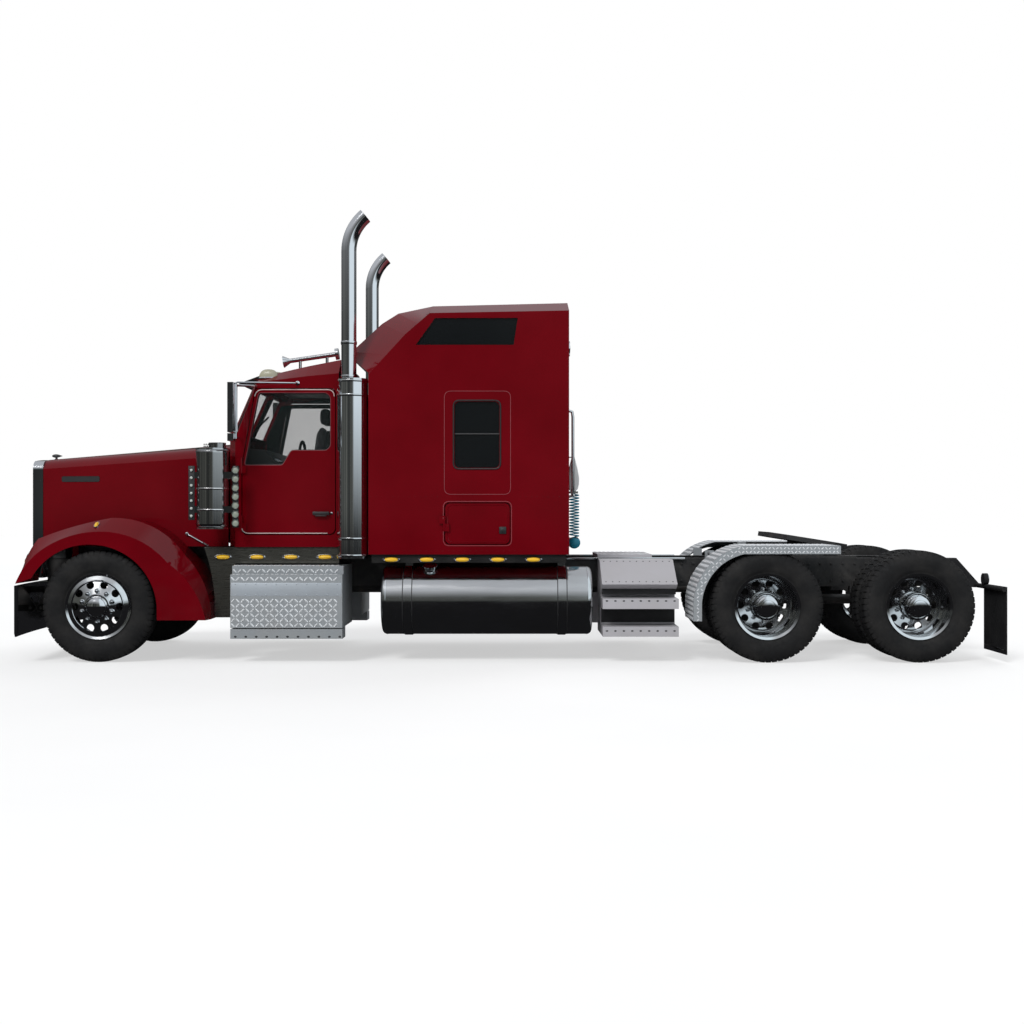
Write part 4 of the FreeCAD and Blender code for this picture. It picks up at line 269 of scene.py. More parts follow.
def satin_paint(name, tone, dust, dull=0.5):
    """Chassis paint: satin, with stone chips, dust and grease."""
    f = Finish(name)
    worn = f.mixed(f.between(f.noise(14.0, 6.0), 0.55, 0.8, 0.0, 0.7), tone, dust)
    rough = f.between(f.noise(20.0, 5.0), 0.3, 0.7, dull - 0.12, dull + 0.2)
    dusted = road_film(f, worn, (0.1, 0.085, 0.07), 0.5)
    return f.dressed(dusted, rough, f.noise(160.0, 3.0), 0.0006, 0.2)


def road_rubber(name, tone, dust, amount):
    """Dull rubber with clouds of dust."""
    f = Finish(name, Specular_IOR_Level=0.18)
    cloud = f.between(f.noise(6.0, 6.0), 0.4, 0.75, 0.0, amount)
    rough = f.between(f.noise(30.0, 4.0), 0.3, 0.7, 0.62, 0.85)
    return f.dressed(f.mixed(cloud, tone, dust), rough, f.noise(380.0, 3.0), 0.0005, 0.3)


def window_glass(name):
    """Tinted pane, far darker on the sleeper behind the cab."""
    f = Finish(name, Roughness=0.03, IOR=1.5, Specular_IOR_Level=0.8)
    sleeper = f.along("X") > -1.42
    cab_tint, sleeper_tint = (0.02, 0.026, 0.026), (0.004, 0.005, 0.006)
    f.feed("Base Color", f.mixed(sleeper, cab_tint, sleeper_tint))
    streaks = f.between(f.noise(3.0, 4.0, (1, 1, 0.2)), 0.3, 0.8, 0.0, 0.05)
    return f.feed("Alpha", sleeper * 0.76 + 0.2 + streaks)


def lens(name, tone, glow):
    """Moulded lamp lens with fine ribs under a clear face."""
    f = Finish(name, Coat_Weight=1.0, Coat_Roughness=0.03, Emission_Strength=0.12)
    ribs = f.bands("X", 55.0, out=1)
    f.feed("Base Color", f.mixed(ribs, tone, dimmed(tone, 0.62)))
    f.feed("Emission Color", f.mixed(ribs, glow, tone))
    f.feed("Roughness", f.between(ribs, 0.0, 1.0, 0.12, 0.28))
    return f.relief(ribs, 0.0008, 0.4)


def woven_cloth(name, tone, second, scale=900.0):
    """Seat cloth: crossed yarns that hold their scale on a flat or a crowned form."""
    f = Finish(name, Sheen_Weight=0.35, Sheen_Roughness=0.5, Specular_IOR_Level=0.25)
    warp, weft, flat = (f.bands(way, scale / 3) for way in "YZX")
    yarn = warp * 0.4 + weft * 0.3 + flat * 0.3
    cloud = f.between(f.noise(12.0, 4.0), 0.3, 0.7, 0.0, 0.5)
    rough = f.between(yarn, 0.0, 1.0, 0.75, 0.95)
    return f.dressed(f.mixed(cloud, tone, second), rough, yarn, 0.0006, 0.5)


def moulded_plastic(name, tone, dull=0.55, grain=260.0):
    """Grained plastic, its darker clouds no more than a quarter down."""
    f = Finish(name)
    inputs = {"Vector": f.place, "Scale": grain}
    cells = f.node("ShaderNodeTexVoronoi", {"feature": "F1"}, inputs)
    cloud = f.between(f.noise(8.0, 3.0), 0.3, 0.7, 0.0, 0.6)
    rough = f.between(cells, 0.0, 0.6, dull, dull + 0.2)
    return f.dressed(f.mixed(cloud, tone, dimmed(tone, 0.75)), rough, cells, 0.0004, 0.25)


CRIMSON = gloss_paint("crimson_paint", (0.1, 0.0008, 0.0034), (0.122, 0.0012, 0.0045))
CHROME = mirror_metal("chrome", (0.78, 0.79, 0.81), 0.03, 0.09)
POLISHED = mirror_metal("polished_aluminium", (0.7, 0.71, 0.72), 0.08, 0.2, (0.4, 1, 3))
STAINLESS = brushed_metal("stainless", (0.62, 0.63, 0.64), (0.15, 1, 6))
# Skirt: its dark olive-grey metal tone is a painted reflection; behind the cab it is painted black.
SKIRT = brushed_metal("skirt_metal", (0.36, 0.35, 0.31), (0.2, 1, 5), 0.22, 0.36, -1.3)
ROOF_CHROME = roof_metal("roof_chrome", (0.82, 0.83, 0.84))
WHEEL = wheel_metal("forged_wheel", (0.8, 0.81, 0.82))
CLEANER = mirror_metal("cleaner_steel", (0.5, 0.5, 0.5), 0.06, 0.13, (1, 1, 0.15))
SHIELD = mirror_metal("exhaust_chrome", (0.8, 0.81, 0.83), 0.05, 0.12, (1, 1, 0.1))
# Tread plate: its dark base tone is painted shade between the bars; on the rear step the base is
# lighter.
SHADED_TREAD_PLATE = mirror_metal(
    "tread_plate", (0.27, 0.29, 0.305), 0.52, 0.62,
    film=0.3, plated=0.2, rear=(0.41, 0.4, 0.42),
)
STEP_FACE = mirror_metal("step_face", (0.4, 0.44, 0.48), 0.4, 0.5, (0.3, 1, 1), 0.3, 0.3)
# Tread bars: their light tone is a painted highlight on the raised bars.
LIT_TREAD_BARS = mirror_metal("tread_bars", (0.84, 0.86, 0.88), 0.16, 0.28, plated=0.4)
FRAME = satin_paint("frame_paint", (0.012, 0.012, 0.013), (0.04, 0.038, 0.035))
IRON = satin_paint("iron", (0.02, 0.02, 0.021), (0.07, 0.06, 0.05), 0.55)
ENGINE = satin_paint("engine_paint", (0.05, 0.052, 0.055), (0.02, 0.02, 0.02), 0.45)
TYRE = road_rubber("tyre_rubber", (0.009, 0.009, 0.0095), (0.03, 0.028, 0.026), 0.45)
FLAP = road_rubber("flap_rubber", (0.012, 0.012, 0.013), (0.03, 0.03, 0.03), 0.4)
GLASS = window_glass("glass_tint")
TRIM = moulded_plastic("interior_trim", (0.03, 0.028, 0.028))
HEADLINER = woven_cloth(
    "headliner_cloth", (0.05, 0.048, 0.047), (0.035, 0.033, 0.033), 600.0
)
SEAT_CLOTH = woven_cloth("seat_cloth", (0.03, 0.03, 0.033), (0.018, 0.018, 0.02))
AMBER = lens("amber", (0.85, 0.5, 0.02), (0.9, 0.5, 0.02))
CLEAR_LENS = lens("lamp_glass", (0.5, 0.52, 0.49), (0.2, 0.2, 0.18))
RED_LENS = lens("red_lens", (0.42, 0.01, 0.01), (0.4, 0.01, 0.01))
HOSE_BLUE = moulded_plastic("air_line_blue", (0.01, 0.25, 0.37), 0.3, 90.0)
PALE = moulded_plastic("pale_plastic", (0.68, 0.7, 0.7), 0.35, 120.0)
BLACK_PLASTIC = moulded_plastic("black_plastic", (0.015, 0.015, 0.016), 0.4)
PIN_LINE = mirror_metal("bright_line", (0.74, 0.72, 0.72), 0.15, 0.3)
# Pale line on the doors' top and bottom edges: a painted highlight.
DOOR_EDGE_HIGHLIGHT = moulded_plastic("door_seal", (0.5, 0.42, 0.4), 0.4, 200.0)
REAR_LENS = lens("rear_lamp_glass", (0.27, 0.3, 0.25), (0.12, 0.12, 0.1))
# Panel seams: a line lighter than the paint, a painted highlight on the seam edges.
SEAM_HIGHLIGHT = moulded_plastic("panel_seam_highlight", (0.24, 0.035, 0.045), 0.4, 200.0)
CREAM_LENS = lens("cream_lens", (0.36, 0.345, 0.25), (0.2, 0.19, 0.12))
MIRROR = mirror_metal("mirror_glass", (0.9, 0.9, 0.92), 0.01, 0.03, film=0.0)

SLOT_FINISHES = (
    CRIMSON, CHROME, POLISHED, STAINLESS, FRAME, IRON, ENGINE, TYRE, FLAP, GLASS, TRIM, AMBER,
    CLEAR_LENS, HOSE_BLUE,
)
BY_SLOT = {finish.material.name.split(".")[0]: finish for finish in SLOT_FINISHES}
BY_NODE = {
    "step_boxes": SHADED_TREAD_PLATE, "quarter_fenders": SHADED_TREAD_PLATE, "deck_plate": SHADED_TREAD_PLATE,
    "roof_fittings": ROOF_CHROME, "side_skirts": SKIRT, "sleeper_boot": FLAP,
    "air_cleaners": CLEANER, "exhausts": SHIELD,
    **{f"front_wheel_{side}": WHEEL for side in SIDES},
    **{f"rear_wheels_{number}_{side}": WHEEL for number in REAR_AXLES for side in SIDES},
}


def finish_nodes():
    for name, node in NODES.items():
        for holder in node.material_slots:
            slot = holder.material.name.split(".")[0] if holder.material else ""
            holder.material = BY_NODE.get(name, BY_SLOT.get(slot, FRAME)).material


# Shapes


def at(x, y, z):
    return Vector((x, y, z))


def evenly(start, pitch, count):
    """Numbers or places at an even pitch."""
    return [start + pitch * i for i in range(count)]


def turns(count, phase=0.0):
    """Angles spread evenly over one turn."""
    return [2 * math.pi * (i + phase) / count for i in range(count)]


def across(axis):
    """Two directions square to an axis and to each other."""
    first = axis.orthogonal().normalized()
    return first, axis.cross(first).normalized()


def flat_ways(count, phase=0.0):
    """Directions spread evenly over the ground plane."""
    return [at(math.cos(a), math.sin(a), 0) for a in turns(count, phase)]


def ways_about(axis, count):
    """Directions spread evenly about an axis."""
    u, v = across(axis)
    return [u * math.cos(a) + v * math.sin(a) for a in turns(count)]


def surface(*names):
    """The skin of some CAD nodes, for finding points on it in millimetres."""
    points, faces = [], []
    for name in names:
        mesh = NODES[name].data
        start = len(points)
        points.extend(vertex.co / MM for vertex in mesh.vertices)
        faces.extend([start + i for i in polygon.vertices] for polygon in mesh.polygons)
    return BVHTree.FromPolygons(points, faces)


# Where looks at a skin start: beside, above, behind and ahead of what they meet
ASIDE = 1600
ABOVE = 2600
BEHIND = 1400
AHEAD = -5200


def touch(skin, start, direction, stand=0.0):
    """Where a straight look meets a skin, and the way the skin faces there."""
    place, normal, _, _ = skin.ray_cast(start, direction)
    if place is None:
        return None, None
    if normal.dot(direction) > 0:
        normal = -normal
    return place + normal * stand, normal


def from_side(skin, side, x, z, stand=0.0):
    """Where a look from beside the truck meets a skin."""
    return touch(skin, at(x, side * ASIDE, z), Y * -side, stand)


def side_spots(skin, side, places):
    """Spots for fittings at places on a side wall, given as x and z."""
    return [(*from_side(skin, side, x, z), 0.0) for x, z in places]


def end_spots(skin, starts, look):
    """Spots for fittings where looks from given starts meet a skin."""
    return [(*touch(skin, start, look), 0.0) for start in starts]


def set_spots(places, out):
    """Spots for fittings at given places, all facing one way."""
    return [(place, out, 0.0) for place in places]


def linked(name, data):
    """New object that holds some data, in the scene."""
    made = bpy.data.objects.new(name, data)
    bpy.context.scene.collection.objects.link(made)
    return made


def turned_rows(centre, axis, ways, outline):
    """Rows of a turned shape; the outline is the way along the axis and the radius."""
    rows = []
    for along, radius in outline:
        spot = centre + axis * along
        rows.append([spot + way * radius for way in ways] if radius else [spot])
    return rows


def skin_over(rows, ring=False):
    """Points and faces over closed rows; a row of one point is a tip, a ring closes on itself."""
    points, marks, faces = [], [], []
    for row in rows:
        marks.append(range(len(points), len(points) + len(row)))
        points.extend(row)
    pairs = list(zip(marks, marks[1:]))
    if ring:
        pairs.append((marks[-1], marks[0]))
    for low, high in pairs:
        count = max(len(low), len(high))
        for i, j in zip(range(count), [*range(1, count), 0]):
            corners = [(low, i), (high, i), (high, j), (low, j)]
            face = dict.fromkeys(row[k % len(row)] for row, k in corners)
            if len(face) > 2:
                faces.append(list(face))
    return points, faces


def bar_form(form):
    """A raised bar with sloping ends, as rolled on tread plate."""
    low = [(-0.5, 0), (-0.25, -0.5), (0.25, -0.5), (0.5, 0), (0.25, 0.5), (-0.25, 0.5)]
    base = [form.verts.new((x, y, -0.2)) for x, y in low]
    top = [form.verts.new((x * 0.6, y * 0.45, 1.0)) for x, y in low]
    for i in range(6):
        j = (i + 1) % 6
        form.faces.new((base[i], base[j], top[j], top[i]))
    form.faces.new(top)
    form.faces.new(base[::-1])


FITTINGS = []


def fitting(name, *turned, build=None):
    """A small repeated form of unit size, standing on the ground plane and facing up."""
    form = bmesh.new()
    for sides, *outline in turned:
        points, faces = skin_over(turned_rows(Vector(), Z, flat_ways(sides), outline))
        corners = [form.verts.new(point) for point in points]
        for face in faces:
            form.faces.new([corners[i] for i in face])
    if build:
        build(form)
    bmesh.ops.remove_doubles(form, verts=form.verts, dist=1e-5)
    bmesh.ops.recalc_face_normals(form, faces=form.faces)
    mesh = bpy.data.meshes.new(name)
    form.to_mesh(mesh)
    form.free()
    FITTINGS.append(linked(name, mesh))
    return FITTINGS[-1]


RIVET = fitting("rivet_unit", (8, (-0.1, 0), (-0.1, 0.5), (0.35, 0.47), (0.8, 0.28), (1.0, 0)))
BOLT = fitting(
    "bolt_unit",
    (12, (-0.1, 0), (-0.1, 0.5), (0.15, 0.5), (0.2, 0)),
    (6, (0.1, 0), (0.1, 0.4), (0.85, 0.4), (1.0, 0.32), (1.0, 0)),
)
WHEEL_NUT = fitting(
    "wheel_nut_unit",
    (16, (-0.05, 0), (-0.05, 0.5), (0.12, 0.5), (0.2, 0.4), (0.2, 0)),
    (6, (0.1, 0), (0.1, 0.41), (0.62, 0.4), (0.7, 0)),
    (12, (0.6, 0), (0.6, 0.34), (0.8, 0.31), (0.94, 0.2), (1.0, 0)),
)
TREAD_BAR = fitting("tread_bar_unit", build=bar_form)
LENS = fitting(
    "lens_unit",
    (24, (-0.2, 0), (-0.2, 0.5), (0.15, 0.49), (0.5, 0.42), (0.8, 0.28), (0.95, 0.13), (1.0, 0)),
)
OVAL_RIM = fitting(
    "oval_rim_unit",
    (28, (-0.2, 0.38), (-0.2, 0.5), (0.6, 0.5), (1, 0.46), (1, 0.42), (0.6, 0.38), (-0.2, 0.38)),
)
ROD = fitting("rod_unit", (8, (0, 0), (0, 0.5), (1.0, 0.5), (1.0, 0)))
HOLE = fitting("hole_unit", (10, (-0.5, 0), (-0.5, 0.5), (0.02, 0.5), (0.02, 0)))


def repeat_tree():
    """Node tree that sets one fitting on every point, turned as the point says."""
    tree = bpy.data.node_groups.new("repeated_fitting", "GeometryNodeTree")
    ports = tree.interface
    wanted = {"Points": "Geometry", "Fitting": "Object"}
    wanted.update({size: "Float" for size in ("Length", "Width", "Height")})
    for name, kind in {**wanted, "Finish": "Material"}.items():
        ports.new_socket(name, in_out="INPUT", socket_type=f"NodeSocket{kind}")
    ports.new_socket("Fittings", in_out="OUTPUT", socket_type="NodeSocketGeometry")
    kinds = {
        "start": "NodeGroupInput",
        "end": "NodeGroupOutput",
        "info": "GeometryNodeObjectInfo",
        "turn": "GeometryNodeInputNamedAttribute",
        "euler": "FunctionNodeEulerToRotation",
        "size": "ShaderNodeCombineXYZ",
        "set": "GeometryNodeInstanceOnPoints",
        "real": "GeometryNodeRealizeInstances",
        "coat": "GeometryNodeSetMaterial",
    }
    made = {key: tree.nodes.new(kind) for key, kind in kinds.items()}
    made["turn"].data_type = "FLOAT_VECTOR"
    made["turn"].inputs["Name"].default_value = "turn"
    links = """start.Points set.Points, start.Fitting info.Object, info.Geometry set.Instance,
        turn.Attribute euler.Euler, euler.Rotation set.Rotation, start.Length size.X,
        start.Width size.Y, start.Height size.Z, size.Vector set.Scale,
        set.Instances real.Geometry, real.Geometry coat.Geometry,
        start.Finish coat.Material, coat.Geometry end.Fittings"""
    for link in links.split(","):
        (source, out), (target, into) = (end.split(".") for end in link.split())
        tree.links.new(made[source].outputs[out], made[target].inputs[into])
    sockets = {item.name: item.identifier for item in ports.items_tree if item.in_out == "INPUT"}
    return tree, sockets


REPEAT, REPEAT_SOCKETS = repeat_tree()


def square_turn(outward, spin):
    """Turn that stands a fitting on a surface and spins it about the way the surface faces."""
    return (outward.to_track_quat("Z", "Y") @ Quaternion((0, 0, 1), spin)).to_euler()


def repeated(form, spots, size, finish):
    """Plain mesh of one fitting set on every spot of (place, outward, spin)."""
    mesh = bpy.data.meshes.new("spots")
    mesh.from_pydata([place * MM for place, _, _ in spots], [], [])
    values = [number for _, outward, spin in spots for number in square_turn(outward, spin)]
    mesh.attributes.new("turn", "FLOAT_VECTOR", "POINT").data.foreach_set("vector", values)
    holder = linked("spots", mesh)
    modifier = holder.modifiers.new("repeat", "NODES")
    modifier.node_group = REPEAT
    modifier[REPEAT_SOCKETS["Fitting"]] = form
    for key, value in zip(("Length", "Width", "Height"), size):
        modifier[REPEAT_SOCKETS[key]] = value * MM
    modifier[REPEAT_SOCKETS["Finish"]] = finish.material
    graph = bpy.context.evaluated_depsgraph_get()
    result = bpy.data.meshes.new_from_object(holder.evaluated_get(graph))
    bpy.data.objects.remove(holder)
    return result


class Piece:
    """Shapes in millimetres, each with its finish, that become one mesh riding on a body."""

    def __init__(self, name, body="chassis"):
        self.name = name
        self.body = body
        self.points = []
        self.faces = []
        self.slots = []
        self.finishes = []

    def add(self, finish, points, faces):
        start = len(self.points)
        if finish not in self.finishes:
            self.finishes.append(finish)
        self.points.extend(Vector(point) for point in points)
        self.faces.extend([start + i for i in face] for face in faces)
        self.slots.extend([self.finishes.index(finish)] * len(faces))

    def rows(self, finish, rows, ring=False, capped=True):
        """Skin over closed rows of points; the last row joins the first when ring."""
        points, faces = skin_over(rows, ring)
        if capped and not ring:
            faces += [range(len(rows[0])), range(len(points) - len(rows[-1]), len(points))]
        self.add(finish, points, faces)

    def turned(self, finish, centre, axis, outline, sides=48, ring=False):
        """A turned shape; the outline is the way along the axis and the radius."""
        rows = turned_rows(centre, axis, ways_about(axis, sides), outline)
        self.rows(finish, rows, ring, False)

    def tube(self, finish, path, radius, sides=8, closed=False, squash=1.0, up=None):
        """A bar that follows a path, with a round section that may be flattened."""
        count = len(path)
        radii = radius if isinstance(radius, list) else [radius] * count
        last = None
        rows = []
        for i, spot in enumerate(path):
            after = path[(i + 1) % count] if closed or i + 1 < count else spot
            before = path[i - 1] if closed or i > 0 else spot
            way = (after - before).normalized()
            if up is not None:
                u = up.cross(way).normalized()
            elif last is None:
                u = way.orthogonal().normalized()
            else:
                u = (last - way * last.dot(way)).normalized()
            last = u
            v = way.cross(u).normalized()
            wide, high = radii[i], radii[i] * squash
            row = [spot + u * math.cos(a) * wide + v * math.sin(a) * high for a in turns(sides)]
            rows.append(row)
        self.rows(finish, rows, closed, not closed)

    def slab(self, finish, low, high, bevel=2.0):
        """A block between two corners, in any order, with rounded edges."""
        middle, size = (low + high) / 2, high - low
        size = Vector(abs(s) for s in size)
        form = bmesh.new()
        bmesh.ops.create_cube(form, size=1)
        for vertex in form.verts:
            vertex.co = Vector(c * s for c, s in zip(vertex.co, size))
        offset = min(bevel, 0.45 * min(size))
        bmesh.ops.bevel(
            form, geom=form.edges[:], offset=offset, segments=2, affect="EDGES", profile=0.5
        )
        form.verts.index_update()
        points = [middle + vertex.co for vertex in form.verts]
        faces = [[vertex.index for vertex in face.verts] for face in form.faces]
        form.free()
        self.add(finish, points, faces)

    def plate(self, finish, outline, depth, bevel=0.0):
        """A flat plate from its outline and the way through it, its face edge rounded."""
        centre = sum(outline, Vector()) / len(outline)
        shrink = [point + (centre - point).normalized() * bevel for point in outline]
        rows = [outline, [p + depth * 0.7 for p in outline], [p + depth for p in shrink]]
        if bevel == 0:
            rows = [outline, [point + depth for point in outline]]
        self.rows(finish, rows)

    def fittings(self, finish, form, spots, size):
        """One fitting on every spot, apart from spots whose look met nothing."""
        met = [spot for spot in spots if spot[0] is not None]
        if not met:
            return
        mesh = repeated(form, met, size, finish)
        points = [vertex.co / MM for vertex in mesh.vertices]
        faces = [list(polygon.vertices) for polygon in mesh.polygons]
        bpy.data.meshes.remove(mesh)
        self.add(finish, points, faces)

    def done(self, *replaces):
        """Makes the mesh, sets it on its body and hides the CAD nodes it stands in for."""
        mesh = bpy.data.meshes.new(self.name)
        mesh.from_pydata([point * MM for point in self.points], [], self.faces)
        mesh.polygons.foreach_set("material_index", self.slots)
        form = bmesh.new()
        form.from_mesh(mesh)
        bmesh.ops.remove_doubles(form, verts=form.verts, dist=1e-6)
        bmesh.ops.recalc_face_normals(form, faces=form.faces)
        form.to_mesh(mesh)
        form.free()
        mesh.polygons.foreach_set("use_smooth", [True] * len(mesh.polygons))
        mesh.set_sharp_from_angle(angle=math.radians(35))
        made = linked(self.name, mesh)
        for finish in self.finishes:
            mesh.materials.append(finish.material)
        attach(made, self.body)
        if replaces:
            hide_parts(*replaces)


def rounded_loop(corners, radius, steps=6):
    """Points of a flat outline with every corner rounded."""
    points = []
    for i, corner in enumerate(corners):
        before, after = corners[i - 1], corners[(i + 1) % len(corners)]
        inward = (before - corner).normalized()
        onward = (after - corner).normalized()
        reach = min(radius, 0.45 * (before - corner).length, 0.45 * (after - corner).length)
        start, end = corner + inward * reach, corner + onward * reach
        for step in range(steps + 1):
            t = step / steps
            points.append(start * (1 - t) ** 2 + corner * 2 * t * (1 - t) + end * t * t)
    return points


# Stage, light and camera


def surround_mesh(radius, height):
    """Dark ground and horizon under a bright sky, for bright metal and paint to mirror."""
    card = Finish(
        "surround", Base_Color=(0, 0, 0, 1), Roughness=1.0, Specular_IOR_Level=0.0,
        Emission_Strength=1.0,
    )
    blur = card.between(card.noise(0.16, 3.0, (1, 1, 0.25)), 0.38, 0.62)
    dark = card.mixed(blur, (0.02, 0.022, 0.023), (0.11, 0.115, 0.105))
    above_ground = card.between(card.along("Z"), 0.05, 1.4)
    dark = card.mixed(above_ground, (0.011, 0.011, 0.012), dark)
    rise = card.between(card.along("Z"), 0.2 * height, 0.62 * height)
    beside = card.between(card.along("X"), 0.06 * radius, 0.24 * radius)
    clear = beside * card.between(card.along("Y"), 0.1 * radius, -0.1 * radius)
    window = clear * card.between(card.along("Z"), 1.0, 4.5)
    open_sky = card.mixed(rise, dark, (0.5, 0.52, 0.55))
    card.feed("Emission Color", card.mixed(window, open_sky, (0.8, 0.9, 0.96)))
    card.material.cycles.emission_sampling = "NONE"
    levels, ground = 12, 0.004
    wall = [(height * level / levels, radius) for level in range(levels + 1)]
    rows = turned_rows(Z * ground, Z, flat_ways(48), [(0, 0), *wall, (height, 0)])
    points, faces = skin_over(rows)
    mesh = bpy.data.meshes.new("surround")
    mesh.from_pydata(points, [], faces)
    mesh.materials.append(card.material)
    return mesh


def make_floor():
    floor = Finish("studio_floor", Roughness=0.9, Specular_IOR_Level=0.1)
    cloud = floor.between(floor.noise(0.6, 3.0), 0.3, 0.7)
    floor.feed("Base Color", floor.mixed(cloud, (0.86, 0.86, 0.86), (0.89, 0.89, 0.89)))
    matt, glow = Value(floor, floor.shader.outputs[0]), floor.node("ShaderNodeEmission")
    floor.show(floor.seen() * 0.55, matt, glow)
    reach = 60.0
    mesh = bpy.data.meshes.new("floor")
    corners = [(-reach, -reach, 0), (reach, -reach, 0), (reach, reach, 0), (-reach, reach, 0)]
    mesh.from_pydata(corners, [], [(0, 1, 2, 3)])
    mesh.materials.append(floor.material)
    linked("floor", mesh)


def make_world():
    """Soft pale light, with plain white wherever the background itself is seen."""
    world = bpy.data.worlds.new("studio")
    bpy.context.scene.world = world
    sky = Net(world, "ShaderNodeOutputWorld")
    light = {"Color": (0.93, 0.96, 1.0, 1), "Strength": 0.55}
    white = {"Color": (1, 1, 1, 1), "Strength": 1.0}
    backgrounds = [sky.node("ShaderNodeBackground", None, inputs) for inputs in (light, white)]
    sky.show(sky.seen(), *backgrounds)


CAMERA_PLACE = (0.050, -14.02, 1.363)
# Each sun: name, lean from straight above, turn about the truck, strength, angular size
SUNS = (("key", 48, -28, 2.1, 20), ("fill", 55, 150, 1.1, 40))


def make_stage():
    make_floor()
    make_world()
    surround = linked("surround", surround_mesh(26.0, 30.0))
    surround.visible_camera = False
    surround.visible_diffuse = False
    surround.visible_shadow = False
    surround.visible_transmission = False
    for name, lean, turn, strength, spread in SUNS:
        data = bpy.data.lights.new(name, "SUN")
        data.energy = strength
        data.angle = math.radians(spread)
        linked(name, data).rotation_euler = (math.radians(lean), 0, math.radians(turn))
    data = bpy.data.cameras.new("camera")
    data.lens = 50
    data.sensor_width = 36
    data.clip_end = 200
    camera = linked("camera", data)
    camera.location = CAMERA_PLACE
    camera.rotation_euler = (math.radians(90), 0, 0)
    bpy.context.scene.camera = camera
    bpy.context.scene.view_settings.view_transform = "Standard"


# Tyres and wheels

TREAD_BLOCKS = 56
BLOCK_SHARE = 0.76
FRONT_TYRE_MIDDLE = 1022
REAR_TYRE_MIDDLES = (1075, 745)


def tyre_section(deep):
    """Half a tyre's section as offset, radius and how far the cross cuts lower it."""
    flank = [
        (106, 289, 0), (106, 299, 0), (112, 312, 0), (119, 320, 0), (127, 330, 0), (128, 334, 0),
        (135, 346, 0), (135.5, 351, 0), (142, 372, 0), (145, 398, 0), (144, 424, 0), (139, 446, 0),
        (133, 460, 0), (132, 463, 0), (131, 466, 3), (124, 482, 5), (116, 492, 8), (110, 501, 9),
    ]
    ribs = [
        (102, 505.4, 9), (68, 507, 9), (65.5, 493, 0), (58.5, 493, 0), (56, 507.3, deep),
        (27, 507.8, deep), (24.5, 494, 0), (17.5, 494, 0), (15, 508, 0),
    ]
    return flank + ribs


def add_tyre(piece, x, middle, deep):
    half = tyre_section(deep)
    section = half + [(-offset, radius, depth) for offset, radius, depth in reversed(half)]
    skew = 0.002
    rows = []
    for block in range(TREAD_BLOCKS):
        for share, cut in ((0.0, 0), (BLOCK_SHARE, 0), (BLOCK_SHARE + 0.04, 1), (0.96, 1)):
            row = []
            for offset, radius, depth in section:
                a = (block + share + skew * offset) * 2 * math.pi / TREAD_BLOCKS
                real = radius - depth * cut
                z = AXLE_HEIGHT + real * math.sin(a)
                row.append(at(x + real * math.cos(a), middle + offset, z))
            rows.append(row)
    piece.rows(TYRE, rows, True)


RIM_LIP = [(0, 226), (2.5, 229), (2.5, 238), (0, 241), (-2, 234)]
# Each turned shape: finish, distance from the truck's middle, outline, sides, open ring
FRONT_HUB = [
    (CHROME, 1190, [(-3, 98), (-3, 119.5), (3, 120), (7, 114), (7, 102), (3, 98)], 64, True),
    (CHROME, 1210, [(-2, 0), (-2, 86), (12, 86), (20, 80), (30, 66), (38, 44), (42, 20), (43, 0)]),
    (CHROME, 1170, RIM_LIP, 72, True),
]
REAR_DOME = [(-2, 0), (-2, 93), (4, 93), (9, 87), (13, 70), (14, 60), (17, 58), (20, 40), (21, 0)]
REAR_HUB = [
    (CHROME, 1194, REAR_DOME),
    (CHROME, 1134, [(-6, 90), (-6, 125), (0, 126), (8, 120), (10, 104), (4, 90)], 64, True),
    (POLISHED, 960, [(0, 121), (0, 128), (16, 131), (32, 128), (32, 121)], 64, True),
    (CHROME, 926, RIM_LIP, 72, True),
]
# Each ring of bolts: form, distance from the truck's middle, radius, count, phase, size
FRONT_BOLTS = [
    (WHEEL_NUT, 1170, 143, 10, 0.5, (46, 46, 40)), (BOLT, 1190, 100, 6, 0.0, (16, 16, 11)),
]
REAR_BOLTS = [
    (WHEEL_NUT, 926, 143, 10, 0.5, (46, 46, 44)), (BOLT, 1140, 108, 8, 0.0, (20, 20, 16)),
]


def hub_trim(name, body, x, side, shapes, rings):
    piece, out = Piece(name, body), Y * side
    for form, y, radius, count, phase, size in rings:
        spots = []
        for a in turns(count, phase):
            z = AXLE_HEIGHT + radius * math.sin(a)
            spots.append((at(x + radius * math.cos(a), side * y, z), out, a))
        piece.fittings(CHROME, form, spots, size)
    for finish, y, *shape in shapes:
        piece.turned(finish, at(x, side * y, AXLE_HEIGHT), out, *shape)
    return piece


def make_wheels():
    for name, side in SIDES.items():
        out = Y * side
        body = f"front_wheel_{name}"
        rubber = Piece(f"front_tyre_tread_{name}", body)
        add_tyre(rubber, FRONT_AXLE, side * FRONT_TYRE_MIDDLE, 0)
        rubber.done(f"front_tyre_{name}")
        bright = hub_trim(f"front_hub_trim_{name}", body, FRONT_AXLE, side, FRONT_HUB, FRONT_BOLTS)
        valve = at(FRONT_AXLE + 60, side * 1150, AXLE_HEIGHT + 236)
        bright.tube(CHROME, [valve, valve + out * 22 - X * 6, valve + out * 40 - X * 16], 4)
        bright.done()
        for number, x in REAR_AXLES.items():
            body = f"rear_wheels_{number}_{name}"
            rubber = Piece(f"rear_tyre_treads_{number}_{name}", body)
            for middle in REAR_TYRE_MIDDLES:
                add_tyre(rubber, x, side * middle, 9)
            rubber.done(f"rear_tyres_{number}_{name}")
            trim = f"rear_hub_trim_{number}_{name}"
            hub_trim(trim, body, x, side, REAR_HUB, REAR_BOLTS).done()


# Paintwork, trim lines and lamps


